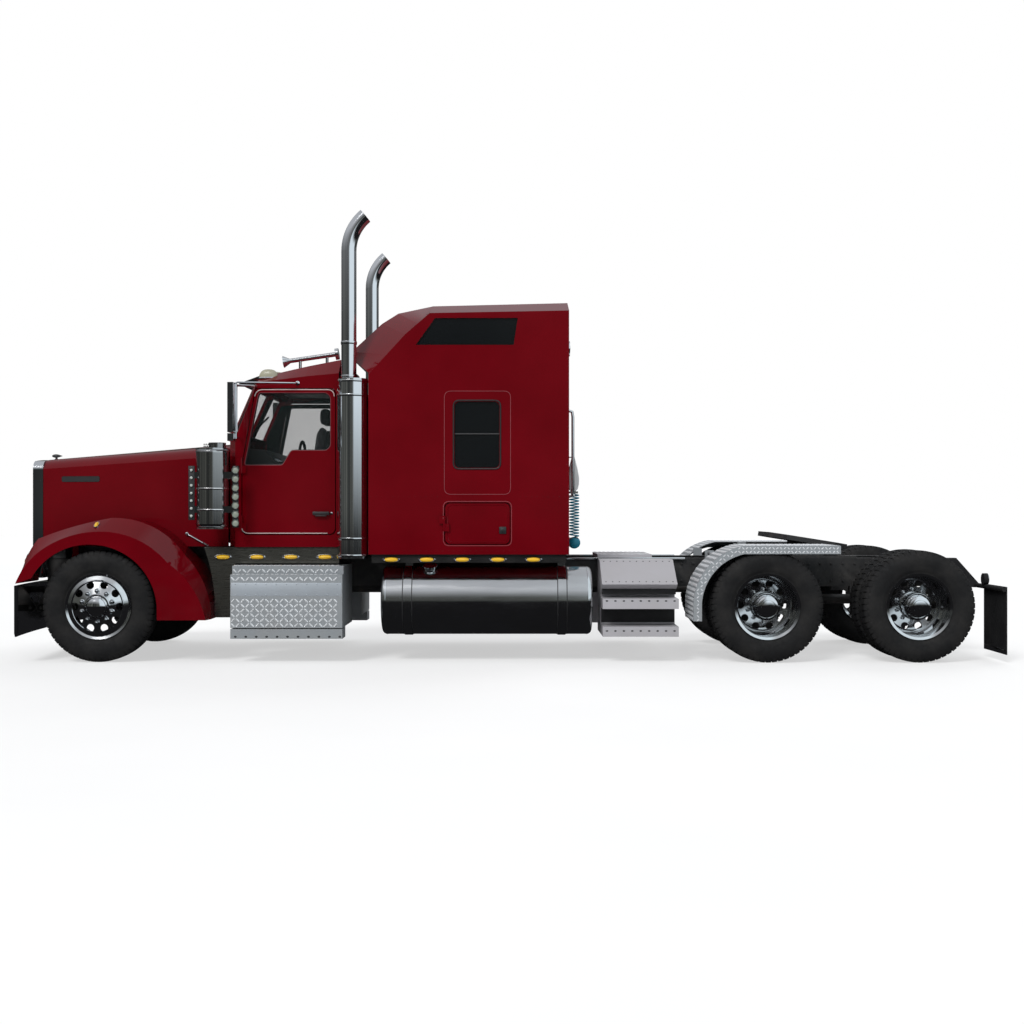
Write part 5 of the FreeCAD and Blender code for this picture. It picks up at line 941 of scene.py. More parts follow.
def rectangle(low_x, high_x, low_z, high_z):
    return [(low_x, low_z), (high_x, low_z), (high_x, high_z), (low_x, high_z)]


def side_loop(side, y, corners, radius, steps=6):
    """A rounded closed line beside the truck, corners given as x and z."""
    return rounded_loop([at(x, side * y, z) for x, z in corners], radius, steps)


def wall_path(skin, side, corners, radius, stand=1.0, spacing=45):
    """A rounded closed line laid on a side wall, corners given as x and z."""
    loop = side_loop(side, ASIDE, corners, radius)
    fine = []
    for i, point in enumerate(loop):
        after = loop[(i + 1) % len(loop)]
        pieces = max(1, int((after - point).length / spacing))
        fine.extend(point.lerp(after, k / pieces) for k in range(pieces))
    path = [touch(skin, point, Y * -side, stand)[0] for point in fine]
    return [point for point in path if point is not None]


def part_of(path, keep):
    """The unbroken run of a closed path whose points pass the test."""
    start = next(i for i, spot in enumerate(path) if keep(spot) and not keep(path[i - 1]))
    run = []
    for spot in path[start:] + path[:start]:
        if not keep(spot):
            break
        run.append(spot)
    return run


DOOR_LINE = [(-2427, 1168), (-1582, 1168), (-1582, 2486), (-2300, 2486), (-2427, 1792)]
DOOR_PANE = [
    (-2407, 1792), (-2057, 1792), (-1975, 1928), (-1654, 1928), (-1614, 1968),
    (-1614, 2419), (-1654, 2459), (-2277, 2459),
]
DOOR_PANEL = [
    (-2380, 1200), (-1620, 1200), (-1620, 1890), (-1990, 1890), (-2060, 1760), (-2380, 1760),
]
DOOR_FACE = 965


def make_door_trim():
    for name, side in SIDES.items():
        skin = surface(f"cab_door_{name}")
        piece = Piece(f"door_trim_{name}", f"cab_door_{name}")
        edge = wall_path(skin, side, DOOR_LINE, 62, 0.5)
        # Pale painted highlights along the door's bottom and top edges.
        piece.tube(DOOR_EDGE_HIGHLIGHT, part_of(edge, lambda spot: spot.z < 1230 and spot.x < -1640), 4.4)
        piece.tube(DOOR_EDGE_HIGHLIGHT, part_of(edge, lambda spot: spot.z > 2420), 4.4)
        piece.tube(BLACK_PLASTIC, side_loop(side, 941, DOOR_PANE, 26, 4), 10, 8, True)
        # Lighter line round the window: painted highlight.
        piece.tube(SEAM_HIGHLIGHT, side_loop(side, DOOR_FACE - 1, DOOR_PANE, 26, 4), 2.6, 6, True)
        low, high = at(-1778, side * DOOR_FACE, 1332), at(-1624, side * (DOOR_FACE + 36), 1368)
        piece.slab(BLACK_PLASTIC, low, high, 9)
        low, high = at(-1752, side * DOOR_FACE, 1322), at(-1650, side * (DOOR_FACE + 34), 1334)
        piece.slab(BLACK_PLASTIC, low, high, 4)
        lock = from_side(skin, side, -1608, 1350)[0]
        piece.turned(CHROME, lock, Y * side, [(-2, 0), (-2, 13), (3, 13), (5, 9), (5, 0)], 20)
        piece.plate(TRIM, side_loop(side, 918, DOOR_PANEL, 40), Y * -side * 12, 4)
        piece.slab(TRIM, at(-2150, side * 850, 1560), at(-1700, side * 910, 1610), 18)
        piece.done()


SLEEPER_FACE = 1184
SLEEPER_RIVET = (11, 11, 2.6)
SLEEPER_PANEL = rectangle(-560, 37, 1522, 2453)
SLEEPER_PANE = rectangle(-478, -54, 1751, 2369)
HATCH_LINE = rectangle(-569, 46, 1059, 1458)
HATCH_SEAL = rectangle(-556, 33, 1072, 1445)
HATCH_EDGE = rectangle(-530, 13, 1090, 1427)


def make_sleeper_trim():
    skin = surface("sleeper_shell")
    piece = Piece("sleeper_trim")
    for side in BOTH:
        # Lighter lines round the panel and the hatch: painted highlights on the seams.
        piece.tube(SEAM_HIGHLIGHT, wall_path(skin, side, SLEEPER_PANEL, 60, 0.4), 3.0, 6, True)
        piece.tube(SEAM_HIGHLIGHT, wall_path(skin, side, HATCH_LINE, 55, 0.4), 3.4, 6, True)
        piece.tube(BLACK_PLASTIC, side_loop(side, 1145, HATCH_SEAL, 50, 5), 11, 8, True)
        piece.tube(BLACK_PLASTIC, wall_path(skin, side, SLEEPER_PANE, 55, 2.0), 7, 8, True)
        bar = [at(x, side * SLEEPER_FACE, 2066) for x in (-468, -64)]
        piece.tube(BLACK_PLASTIC, bar, 9)
        lower = [(x, 1012) for x in evenly(-1225, 50, 36)]
        upper = [(x, 1500) for x, _ in lower if not -620 < x < 90]
        rear = [(548, z) for z in evenly(1040, 68, 30)]
        for places in (lower, upper, rear):
            piece.fittings(CRIMSON, RIVET, side_spots(skin, side, places), SLEEPER_RIVET)
    columns = (-1150, -700, -250, 250, 700, 1150)
    starts = [at(BEHIND, y, z) for y in columns for z in evenly(1020, 58, 38)]
    starts += [at(BEHIND, y, z) for z in (1010, 2560) for y in evenly(-1125, 50, 46)]
    piece.fittings(CRIMSON, RIVET, end_spots(skin, starts, -X), SLEEPER_RIVET)
    for y in (-620, 620):
        place = touch(skin, at(BEHIND, y, 2900), -X)[0]
        shell = [(-4, 0), (-4, 74), (8, 76), (30, 70), (30, 60), (24, 0)]
        piece.turned(CHROME, place, X, shell, 40)
        piece.turned(CLEAR_LENS, place, X, [(20, 0), (20, 60), (27, 56), (33, 30), (35, 0)], 36)
    for y in (-880, 880):
        bend = ((565, 1500), (605, 1512), (612, 1560), (612, 2240), (605, 2288), (565, 2300))
        piece.tube(POLISHED, [at(x, y, z) for x, z in bend], 14, 14)
    piece.done()


def make_luggage_trim():
    for name, side in SIDES.items():
        skin = surface(f"luggage_door_{name}")
        piece = Piece(f"luggage_door_trim_{name}", f"luggage_door_{name}")
        place, half = at(-34, side * 1205, 1198), at(32, 6.5, 32)
        piece.slab(BLACK_PLASTIC, place - half, place + half, 5)
        handle = [(4, 0), (4, 22), (8, 22), (10, 19), (10, 0)]
        piece.turned(BLACK_PLASTIC, place, Y * side, handle, 32)
        piece.turned(CHROME, place, Y * side, [(9, 0), (9, 8), (12, 7), (12, 0)], 20)
        piece.tube(CRIMSON, wall_path(skin, side, HATCH_EDGE, 50, 0.3), 4, 6, True)
        piece.done()


HOOD_PLATE = rectangle(-4205, -3838, 1650, 1698)


def make_hood_trim():
    skin = surface("hood_shell")
    both = surface("hood_shell", "grille")
    piece = Piece("hood_trim", "hood")
    for side in BOTH:
        path = wall_path(skin, side, HOOD_PLATE, 14, 2.0, 400)
        piece.tube(BLACK_PLASTIC, path, 3, 6, True)
        piece.plate(BLACK_PLASTIC, path, Y * side * 1.5)
        marks = side_spots(skin, side, [(x, 1090) for x in evenly(-4360, 76, 24)])
        piece.fittings(CRIMSON, RIVET, marks, (11, 11, 2.4))
        start = from_side(skin, side, -2985, 1158, 6)[0]
        low = from_side(skin, side, -2815, 1066, 10)[0]
        piece.tube(CHROME, [start, start.lerp(low, 0.5) + Y * side * 4, low], 9)
        foot = [(-8, 0), (-8, 17), (7, 17), (11, 11), (12, 0)]
        piece.turned(CHROME, start, Y * side, foot, 24)
        way = (low - start).normalized()
        piece.tube(CHROME, [low - way * 6, low + way * 44], [13, 9], 12)
    line = [touch(both, at(x, 0, ABOVE), -Z)[0] for x in evenly(-4385, 39.6, 46)]
    strip = [spot + Z for spot in line if spot is not None]
    piece.tube(CHROME, strip, 5, 8, False, 0.6, Z)
    nose = touch(both, at(-4440, 0, ABOVE), -Z)[0]
    stem = [(-4, 0), (-4, 26), (6, 24), (16, 12), (34, 9), (34, 0)]
    piece.turned(IRON, nose, Z, stem, 24)
    drop = [(-44, 0), (-40, 8), (-26, 15), (-6, 18), (18, 15), (40, 8), (56, 3), (60, 0)]
    piece.turned(IRON, nose + at(0, 0, 44), X, drop, 24)
    piece.done()


def make_grille_trim():
    piece = Piece("grille_screen", "hood")
    rods = [at(-4412, y, 830) for y in evenly(-470, 20, 48)]
    piece.fittings(FRAME, ROD, set_spots(rods, Z), (5, 5, 960))
    face = touch(surface("grille"), at(AHEAD, 0, 1800), X)[0]
    badge = [at(face.x, 62 * math.cos(a), 1812 + 24 * math.sin(a)) for a in turns(36)]
    piece.plate(CHROME, badge, X * -5, 3)
    piece.done()


# Round lamps: the outline of the bezel with its sides, then that of the glass
HEADLAMP = (
    [(-5, 31), (-5, 36), (4, 36), (6, 33), (4, 31)], 36,
    [(-4, 0), (-4, 32), (3, 31), (8, 20), (10, 0)],
)
TAIL_LAMP = (
    [(-3, 46), (-3, 54), (3, 55), (6, 51), (4, 45)], 40,
    [(-2, 0), (-2, 47), (4, 46), (8, 30), (10, 0)],
)
FOG_LAMP = (
    [(-4, 50), (-4, 62), (7, 63), (12, 58), (8, 50)], 40,
    [(-4, 0), (-4, 52), (5, 50), (10, 30), (12, 0)],
)


def round_lamp(piece, finish, place, out, lamp):
    bezel, sides, glass = lamp
    piece.turned(CHROME, place, out, bezel, sides, True)
    piece.turned(finish, place, out, glass, 36)


def oval_lamps(piece, finish, spots, rim, glass):
    piece.fittings(CHROME, OVAL_RIM, spots, rim)
    piece.fittings(finish, LENS, spots, glass)


def make_marker_lamps():
    piece = Piece("side_marker_lamps")
    spots = []
    for side in BOTH:
        cab = [at(x, side * 951, 950) for x in evenly(-1670, -312, 4)]
        sleeper = [at(x, side * 1175, 934) for x in evenly(-1041, 321, 5)]
        spots += set_spots(cab + sleeper, Y * side)
    oval_lamps(piece, AMBER, spots, (158, 50, 10), (122, 36, 17))
    piece.fittings(BLACK_PLASTIC, HOLE, spots, (140, 43, 3))
    piece.done("marker_lamps")


def make_cleaner_lamps():
    skin = surface("air_cleaners")
    piece = Piece("air_cleaner_lamps")
    for side in BOTH:
        out = Y * side
        rear = [from_side(skin, side, -2453, z)[0] for z in evenly(1262, 80, 7)]
        oval_lamps(piece, REAR_LENS, set_spots(rear, out), (72, 72, 14), (58, 58, 13))
        piece.slab(BLACK_PLASTIC, at(-2878, side * 1143, 1293), at(-2826, side * 1146, 1779), 1)
        front = [at(-2852, side * 1146, z) for z in evenly(1328, 69, 7)]
        oval_lamps(piece, CLEAR_LENS, set_spots(front, out), (32, 32, 8), (27, 27, 14))
        middle = at(-2683, side * 1050, 0)
        band = [(-9, 149), (-9, 153), (-5, 155), (5, 155), (9, 153), (9, 149)]
        for z in (1381, 1573):
            piece.turned(PIN_LINE, middle + Z * z, Z, band, 64, True)
        band = [(-7, 148), (-7, 152.5), (7, 152.5), (7, 148)]
        for z in (1216, 1936):
            piece.turned(CHROME, middle + Z * z, Z, band, 64, True)
        intake = []
        for row in range(2):
            for way in flat_ways(26, 0.5 * row):
                intake.append((middle + way * 79 + Z * (1962 + 17 * row), way, 0.0))
        # Black discs stand for the holes of the rain cap: painted shade.
        piece.fittings(BLACK_PLASTIC, HOLE, intake, (10, 10, 2))
    piece.done()


# Each shell of a headlamp pod: finish, growth ahead, drop, near and far side
POD_SHELLS = [
    (CRIMSON, 0, 12, 699, 901), (CHROME, 3, 21, 714, 886), (BLACK_PLASTIC, 7, 25, 721, 879),
]


def make_headlamps():
    piece = Piece("headlamp_lenses", "hood")
    fender = surface("front_fenders")
    for side in BOTH:
        for finish, grow, drop, near, far in POD_SHELLS:
            brow = [
                (-4334, 868 + drop), (-4440, 864 + drop), (-4447, 880 + drop), (-4447, 922),
                (-4393, 1014 - drop / 3), (-4380, 1026 - drop), (-4334, 1030 - drop),
            ]
            rows = []
            for y, pull in ((near, 7), (near + 8, 0), (far - 8, 0), (far, 7)):
                ring = [(x + pull - grow if x < -4350 else x, z) for x, z in brow]
                rows.append([at(x, side * y, z + (pull if z < 940 else -pull)) for x, z in ring])
            piece.rows(finish, rows)
        for y in (762, 838):
            place = at(-4428, side * y, 962)
            round_lamp(piece, CLEAR_LENS, place, at(-0.862, 0, 0.506), HEADLAMP)
        piece.slab(AMBER, at(-4460, side * 734, 892), at(-4448, side * 866, 915), 4)
        turn_lamp = [(*touch(fender, at(-3711, side * 1130, 1900), -Z), math.pi / 2)]
        oval_lamps(piece, AMBER, turn_lamp, (86, 46, 16), (72, 38, 34))
    piece.done("headlamps")


def make_tail_lamps():
    piece = Piece("tail_lamp_lenses")
    for side in BOTH:
        round_lamp(piece, RED_LENS, at(4498, side * 700, 735), X, TAIL_LAMP)
    piece.done()


# Tread plate, steps, tanks and exhausts


def bar_turn(i, j):
    """Every other bar of tread plate is turned across."""
    return math.radians(45 if (i + j) % 2 else -45)


def tread_grid(skin, start, first, second, look, pitch=44.0):
    """Spots of a tread-plate pattern over a rectangle, every other bar turned across."""
    spots = []
    u, v = first.normalized() * pitch, second.normalized() * pitch
    for i in range(int(first.length / pitch)):
        for j in range(int(second.length / pitch)):
            place = start + u * (i + 0.5) + v * (j + 0.5)
            hit, way = touch(skin, place, look)
            if hit is None or way.dot(look) > -0.8 or (hit - place).length > 60:
                continue
            spots.append((hit, way, bar_turn(i, j)))
    return spots


STEP_FRONT, STEP_LENGTH = -2486, 1008
STEP_SMOOTH_FACE = 1221
# Tread-plate faces as distance from the middle, height and depth, and tops as near, far, height
STEP_FACES = ((1262, 322, 290), (1262, 738, 64), (1180, 806, 68))
STEP_TOPS = ((1215, 1135, 850), (1125, 960, 920))


def make_step_trim():
    skin = surface("step_boxes")
    piece = Piece("step_treads")
    for side in BOTH:
        out, along = Y * side, X * STEP_LENGTH
        spots = []
        for y, z, high in STEP_FACES:
            spots += tread_grid(skin, at(STEP_FRONT, side * y, z), along, Z * high, -out)
        for near, far, z in STEP_TOPS:
            low = min(side * near, side * far)
            spots += tread_grid(skin, at(STEP_FRONT, low, z), along, Y * (near - far), -Z)
        piece.fittings(LIT_TREAD_BARS, TREAD_BAR, spots, (54, 16, 4.6))
        # Black discs along the step edge stand for its drain holes: painted shade.
        notches = [at(x, side * 1220, 240) for x in evenly(-2440, 94, 11)]
        piece.fittings(BLACK_PLASTIC, HOLE, set_spots(notches, out), (26, 18, 2))
        low, high = at(-2480, side * STEP_SMOOTH_FACE, 606), at(-1484, side * 1190, 726)
        piece.slab(STEP_FACE, low, high, 3)
        for z in (618, 714):
            studs = [at(x, side * STEP_SMOOTH_FACE, z) for x in evenly(-2440, 92, 11)]
            piece.fittings(STEP_FACE, RIVET, set_spots(studs, out), (13, 13, 4))
        # Black discs along the rear step's edges stand for its holes: painted shade.
        rear = [from_side(skin, side, x, z)[0] for z in (292, 562) for x in evenly(905, 76, 9)]
        rear = [hit for hit in rear if hit is not None and abs(hit.y) > 1100]
        piece.fittings(BLACK_PLASTIC, HOLE, set_spots(rear, out), (24, 14, 2))
        for low, high in ((346, 488), (610, 712)):
            back = from_side(skin, side, 1210, (low + high) / 2)[0]
            half = at(338, 3, (high - low) / 2)
            piece.slab(BLACK_PLASTIC, back - half, back + half, 2)
        bolts = side_spots(skin, side, [(x, 640) for x in (900, 1210, 1520)])
        piece.fittings(CHROME, RIVET, bolts, (20, 20, 7))
        lid = side_spots(skin, side, [(x, z) for x in evenly(905, 61, 11) for z in (728, 903)])
        lid = [spot for spot in lid if spot[0] is not None and 0.2 < spot[1].z < 0.98]
        piece.fittings(IRON, RIVET, lid, (13, 13, 4))
    piece.done()
    deck = Piece("deck_treads")
    spots = tread_grid(surface("deck_plate"), at(868, -432, 1000), X * 518, Y * 864, -Z)
    deck.fittings(LIT_TREAD_BARS, TREAD_BAR, spots, (50, 15, 3.6))
    deck.done()


def clear_of_edges(skin, place, look, reach):
    """Where a look meets a skin, if it also does a little to every side of that spot."""
    hit, way = touch(skin, place, look)
    if hit is None:
        return None, None
    for aside in across(look):
        for shift in (-reach, reach):
            near = touch(skin, place + aside * shift, look)[0]
            if near is None or (near - hit).length > 2 * reach:
                return None, None
    return hit, way


FENDER_PITCH, LIP_PITCH = 43, 34
LOWEST_TOP, LAST_FRONT, NEAREST_LIP = 700, 2200, 1205


def make_quarter_treads():
    """Bars on the tops and front faces of the quarter fenders, and finer ones on their lips."""
    skin = surface("quarter_fenders")
    piece = Piece("quarter_fender_treads")
    for side in BOTH:
        spots, lip = [], []
        for j, y in enumerate(evenly(620, FENDER_PITCH, 14)):
            for i, x in enumerate(evenly(1720, FENDER_PITCH, 34)):
                hit, way = clear_of_edges(skin, at(x, side * y, 1400), -Z, 17)
                if hit is not None and way.z > 0.7 and hit.z > LOWEST_TOP:
                    spots.append((hit, way, bar_turn(i, j)))
            for i, z in enumerate(evenly(400, FENDER_PITCH, 14)):
                hit, way = clear_of_edges(skin, at(1400, side * y, z), X, 17)
                if hit is not None and way.x < -0.72 and hit.x < LAST_FRONT:
                    spots.append((hit, way, bar_turn(i, j)))
        for i, x in enumerate(evenly(1690, LIP_PITCH, 40)):
            for j, z in enumerate(evenly(390, LIP_PITCH, 21)):
                hit = clear_of_edges(skin, at(x, side * 1262, z), Y * -side, 12)[0]
                if hit is not None and abs(hit.y) > NEAREST_LIP:
                    lip.append((hit, Y * side, bar_turn(i, j)))
        piece.fittings(LIT_TREAD_BARS, TREAD_BAR, spots, (48, 14, 3.2))
        piece.fittings(LIT_TREAD_BARS, TREAD_BAR, lip, (34, 11, 3))
    piece.done()


TANK_ASIDE, TANK_HEIGHT = 900, 551
TANK_STRAPS, STRAP_HALF = (-897, 505), 42
TANK_CAP = -700


def make_tank_trim():
    """Beads at the tank's ends, liners along both edges of its straps, and its cap."""
    piece = Piece("fuel_tank_trim")
    bead = [(-5, 309), (-5, 312), (0, 313.5), (5, 312), (5, 309)]
    liner = [(-4, 310), (-4, 313), (4, 313), (4, 310)]
    cap = [(0, 0), (0, 62), (26, 62), (30, 66), (52, 66), (58, 58), (60, 0)]
    for side in BOTH:
        middle = at(0, side * TANK_ASIDE, TANK_HEIGHT)
        for x in (-1098, 738):
            piece.turned(CHROME, middle + X * x, X, bead, 96, True)
        for strap in TANK_STRAPS:
            for x in (strap - STRAP_HALF, strap + STRAP_HALF):
                piece.turned(BLACK_PLASTIC, middle + X * x, X, liner, 96, True)
        neck = at(TANK_CAP, side * 1010, 830)
        way = (neck - middle - X * TANK_CAP).normalized()
        piece.turned(CHROME, neck, way, cap, 36)
        grip = [(neck + way * 45 + out * 66, out, 0.0) for out in ways_about(way, 12)]
        piece.fittings(CHROME, RIVET, grip, (9, 16, 5))
    piece.done()


def clamp(radius, half):
    """Outline of a band clamp from its bore's radius and half its length."""
    crest, edge, inner = radius + 6, radius + 4, half - 5
    near = [(-half, radius), (-half, edge), (-inner, crest)]
    return near + [(-along, height) for along, height in reversed(near)]


def make_exhaust_trim():
    piece = Piece("exhaust_trim")
    for side in BOTH:
        for z in (968, 1120, 2420, 2550):
            piece.turned(POLISHED, at(-1401, side * 1080, z), Z, clamp(138, 11), 72, True)
        for z in (2592, 2900):
            piece.turned(CHROME, at(-1434, side * 1080, z), Z, clamp(68, 14), 48, True)
    piece.done()


RAIL_FACE = 432
BOLT_SPIN = 0.3


def make_frame_trim():
    skin = surface("frame_rails")
    piece = Piece("frame_bolts")
    columns = [*range(-1100, 900, 130), *range(900, 4290, 110)]
    spots = []
    for side in BOTH:
        starts = [at(x, side * 520, z) for x in columns for z in (706, 870)]
        for hit, way, _ in end_spots(skin, starts, Y * -side):
            if hit is not None and abs(abs(hit.y) - RAIL_FACE) < 4:
                spots.append((hit, way, BOLT_SPIN))
    piece.fittings(FRAME, BOLT, spots, (26, 26, 13))
    for side in BOTH:
        piece.slab(POLISHED, at(572, side * 436, 912), at(1700, side * 472, 931), 3)
    piece.done()
    flaps = Piece("mud_flap_trim")
    for side in BOTH:
        flaps.slab(CHROME, at(4500, side * 606, 80), at(4513, side * 1209, 122), 3)
        heads = [at(4502, side * y, 650) for y in evenly(640, 105, 6)]
        flaps.fittings(CHROME, BOLT, set_spots(heads, -X), (20, 20, 9))
    flaps.done()


FOG_HEIGHT = 470


def make_bumper_trim():
    skin = surface("bumper")
    piece = Piece("bumper_trim")
    starts = [at(AHEAD, y, z) for y in (-900, -520, 520, 900) for z in (300, 636)]
    piece.fittings(CHROME, RIVET, end_spots(skin, starts, X), (30, 30, 11))
    front = touch(skin, at(AHEAD, 0, FOG_HEIGHT), X)[0]
    piece.slab(BLACK_PLASTIC, front + at(-6, -165, -80), front + at(4, 165, 80), 3)
    for y in (-680, 680):
        place = touch(skin, at(AHEAD, y, FOG_HEIGHT), X)[0]
        round_lamp(piece, CLEAR_LENS, place, -X, FOG_LAMP)
    piece.done()


def on_screen(side, y, z):
    """A place just ahead of the windscreen, which leans back with height."""
    return at(-2544 + 184 * (z - 2092) / 408 - 13, y * side, z + 6)


def make_wipers():
    piece = Piece("windscreen_wipers")
    for side in BOTH:
        hub = at(-2566, side * 395, 2062)
        post = [(-8, 0), (-8, 17), (12, 15), (16, 0)]
        piece.turned(BLACK_PLASTIC, hub, at(-0.91, 0, 0.41), post, 20)
        reach = on_screen(side, 390, 2250) + at(-10, 0, 4)
        arm = [hub + at(-8, 0, 6), hub.lerp(reach, 0.3) + at(-14, 0, 8), reach]
        piece.tube(BLACK_PLASTIC, arm, [7, 6, 4])
        blade = [on_screen(side, y, z) for y, z in ((170, 2130), (390, 2250), (590, 2330))]
        piece.tube(BLACK_PLASTIC, blade, 5, 8, False, 2.0)
    piece.done()


def dome_rows(foot, long, wide, high):
    """Rows of a long dome that is sunk a little into the roof."""
    rows = []
    for level in range(9):
        a = math.pi / 2 * level / 8.2
        span = math.cos(a) ** 0.7
        middle = foot + Z * (high * math.sin(a) - 16)
        row = [at(long * span * math.cos(b), wide * span * math.sin(b), 0) for b in turns(28)]
        rows.append([middle + spot for spot in row])
    return rows


def make_roof_lamps(roof):
    piece = Piece("roof_marker_lamps")
    for y in (-840, -420, 0, 420, 840):
        foot = touch(roof, at(-2205, y, 3200), -Z)[0]
        piece.rows(CHROME, dome_rows(foot, 98, 54, 20))
        piece.rows(CREAM_LENS, dome_rows(foot, 90, 47, 84))
    piece.done()


def make_mirrors(roof):
    piece = Piece("mirror_glass")
    for side in BOTH:
        bend = ((-2452, 1200, 2520), (-2425, 1196, 2533), (-1935, 1002, 2543))
        stay = [at(x, side * y, z) for x, y, z in bend]
        end = from_side(roof, side, -1919, 2545, -4)[0]
        piece.tube(CHROME, [*stay, end], 8, 12)
        foot = [(0, 0), (0, 22), (8, 21), (14, 12), (14, 0)]
        piece.turned(CHROME, end, Y * side, foot, 24)
        low, high = sorted((side * 1124, side * 1296))
        piece.slab(MIRROR, at(-2446, low, 2090), at(-2442.5, high, 2514), 2)
        spot = [(-2, 0), (-2, 30), (2, 28), (5, 16), (6, 0)]
        piece.turned(MIRROR, at(-2446, side * 1210, 2034), X, spot, 36)
        rim = [at(-2444, y, z) for y, z in rectangle(low - 6, high + 6, 2082, 2522)]
        piece.tube(CHROME, rounded_loop(rim, 20, 5), 4, 8, True)
    piece.done()


# Air line

HOSE_RADIUS = 6.0
COIL_RADIUS = 43.5
COIL_TURNS = 14
COIL_STEPS = 16
COIL_TOP, COIL_BOTTOM = 1524, 1134
HOSE_X, HOSE_Y = 645, -420
HOSE_TOP = 1540


def make_air_line():
    """Curly air hose as one spline: a straight lead, the coil and a straight lead."""
    centre = at(HOSE_X, HOSE_Y, 0)
    points = [centre + Z * HOSE_TOP, centre + Z * (COIL_TOP + 8)]
    fall = COIL_TOP - COIL_BOTTOM
    for i in range(COIL_TURNS * COIL_STEPS + 1):
        a = 2 * math.pi * i / COIL_STEPS
        z = COIL_TOP - fall * i / (COIL_TURNS * COIL_STEPS)
        points.append(centre + at(COIL_RADIUS * math.cos(a), COIL_RADIUS * math.sin(a), z))
    points += [centre + Z * (COIL_BOTTOM - 8), centre + Z * (COIL_BOTTOM - 14)]
    data = bpy.data.curves.new("air_hose", "CURVE")
    data.dimensions = "3D"
    data.bevel_depth = HOSE_RADIUS * MM
    data.bevel_resolution = 3
    data.use_fill_caps = True
    spline = data.splines.new("NURBS")
    spline.points.add(len(points) - 1)
    for target, point in zip(spline.points, points):
        target.co = (*(point * MM), 1.0)
    spline.order_u = 3
    spline.use_endpoint_u = True
    data.materials.append(HOSE_BLUE.material)
    hose = linked("air_hose", data)
    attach(hose, "chassis")
    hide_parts("air_line")


def make_hose_holder():
    piece = Piece("air_hose_holder")
    drop = [
        (0, 0), (0, 22), (24, 44), (70, 56), (130, 58), (210, 44), (290, 24), (350, 8), (380, 0),
    ]
    piece.turned(PALE, at(634, HOSE_Y, 1558), Z, drop, 36)
    piece.slab(STAINLESS, at(560, HOSE_Y - 12, 1880), at(640, HOSE_Y + 12, 1892), 3)
    ball = [(-58, 0), (-54, 22), (-38, 46), (-14, 58), (14, 58), (38, 46), (54, 22), (58, 0)]
    piece.turned(HOSE_BLUE, at(HOSE_X, HOSE_Y, 1070), Z, ball, 36)
    coupler = [(-2, 0), (-2, 26), (34, 26), (40, 18), (62, 18), (62, 0)]
    # The red coupler face uses the lamp lens finish, so it glows faintly: painted light on a part
    # that is no lamp.
    for y, finish in ((-60, RED_LENS), (60, HOSE_BLUE)):
        piece.turned(IRON, at(565, y, 1090), X, coupler, 28)
        piece.slab(finish, at(600, y - 24, 1064), at(618, y + 24, 1116), 5)
    piece.done()


# Cab inside


def cushion(name, low, high, turn=Matrix.Identity(3), cap=9.0):
    """A crowned pad between two corners, blown up as cloth inside its seams."""
    middle, half = (low + high) / 2, (high - low) / 2
    form = bmesh.new()
    bmesh.ops.create_cube(form, size=2)
    bmesh.ops.subdivide_edges(form, edges=form.edges[:], cuts=9, use_grid_fill=True)
    thin = min(range(3), key=lambda i: half[i])
    others = [i for i in range(3) if i != thin]
    for vertex in form.verts:
        p = vertex.co.copy()
        a, b = p[others[0]], p[others[1]]
        edge = max(abs(a), abs(b))
        pull = 1 - 0.045 * (1 - min(abs(a), abs(b)) ** 2) * edge ** 4
        q = Vector(p)
        q[others[0]] = a * pull * (1 - 0.03 * abs(p[thin]) * abs(a) ** 3)
        q[others[1]] = b * pull * (1 - 0.03 * abs(p[thin]) * abs(b) ** 3)
        crown = (1 - a * a) * (1 - b * b)
        round_off = 1 - 0.35 * max(0.0, edge - 0.8) / 0.2
        q[thin] = p[thin] * (0.78 * round_off + 0.22 * crown)
        channel = 0.06 * math.exp(-((abs(a) - 0.55) / 0.05) ** 2)
        q[thin] *= 1 - channel
        vertex.co = Vector(c * h for c, h in zip(q, half))
    bmesh.ops.recalc_face_normals(form, faces=form.faces)
    mesh = bpy.data.meshes.new(name)
    for vertex in form.verts:
        vertex.co = (middle + turn @ vertex.co) * MM
    form.to_mesh(mesh)
    form.free()
    pad = linked(name, mesh)
    blow_up(pad, cap * MM)
    smooth = pad.modifiers.new("smooth", "SUBSURF")
    smooth.levels = 1
    smooth.render_levels = 1
    pad.data.polygons.foreach_set("use_smooth", [True] * len(pad.data.polygons))
    pad.data.materials.clear()
    pad.data.materials.append(SEAT_CLOTH.material)
    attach(pad, "chassis")


CLOTH_FRAMES = 14


def blow_up(pad, cap):
    """Cloth simulation of a stuffed cover, its movement capped, applied to the mesh."""
    scene = bpy.context.scene
    remesh = pad.modifiers.new("remesh", "REMESH")
    remesh.mode = "VOXEL"
    remesh.voxel_size = 0.011
    graph = bpy.context.evaluated_depsgraph_get()
    mesh = bpy.data.meshes.new_from_object(pad.evaluated_get(graph))
    pad.modifiers.clear()
    old = pad.data
    pad.data = mesh
    bpy.data.meshes.remove(old)
    start = [vertex.co.copy() for vertex in pad.data.vertices]
    cloth = pad.modifiers.new("cloth", "CLOTH")
    cloth.settings.use_pressure = True
    cloth.settings.uniform_pressure_force = 4.0
    cloth.settings.effector_weights.gravity = 0.0
    cloth.settings.quality = 4
    for number in range(1, CLOTH_FRAMES + 1):
        scene.frame_set(number)
    graph = bpy.context.evaluated_depsgraph_get()
    moved = [vertex.co.copy() for vertex in pad.evaluated_get(graph).data.vertices]
    pad.modifiers.clear()
    scene.frame_set(1)
    for vertex, before, after in zip(pad.data.vertices, start, moved):
        shift = after - before
        if shift.length > cap:
            shift = shift.normalized() * cap
        vertex.co = before + shift


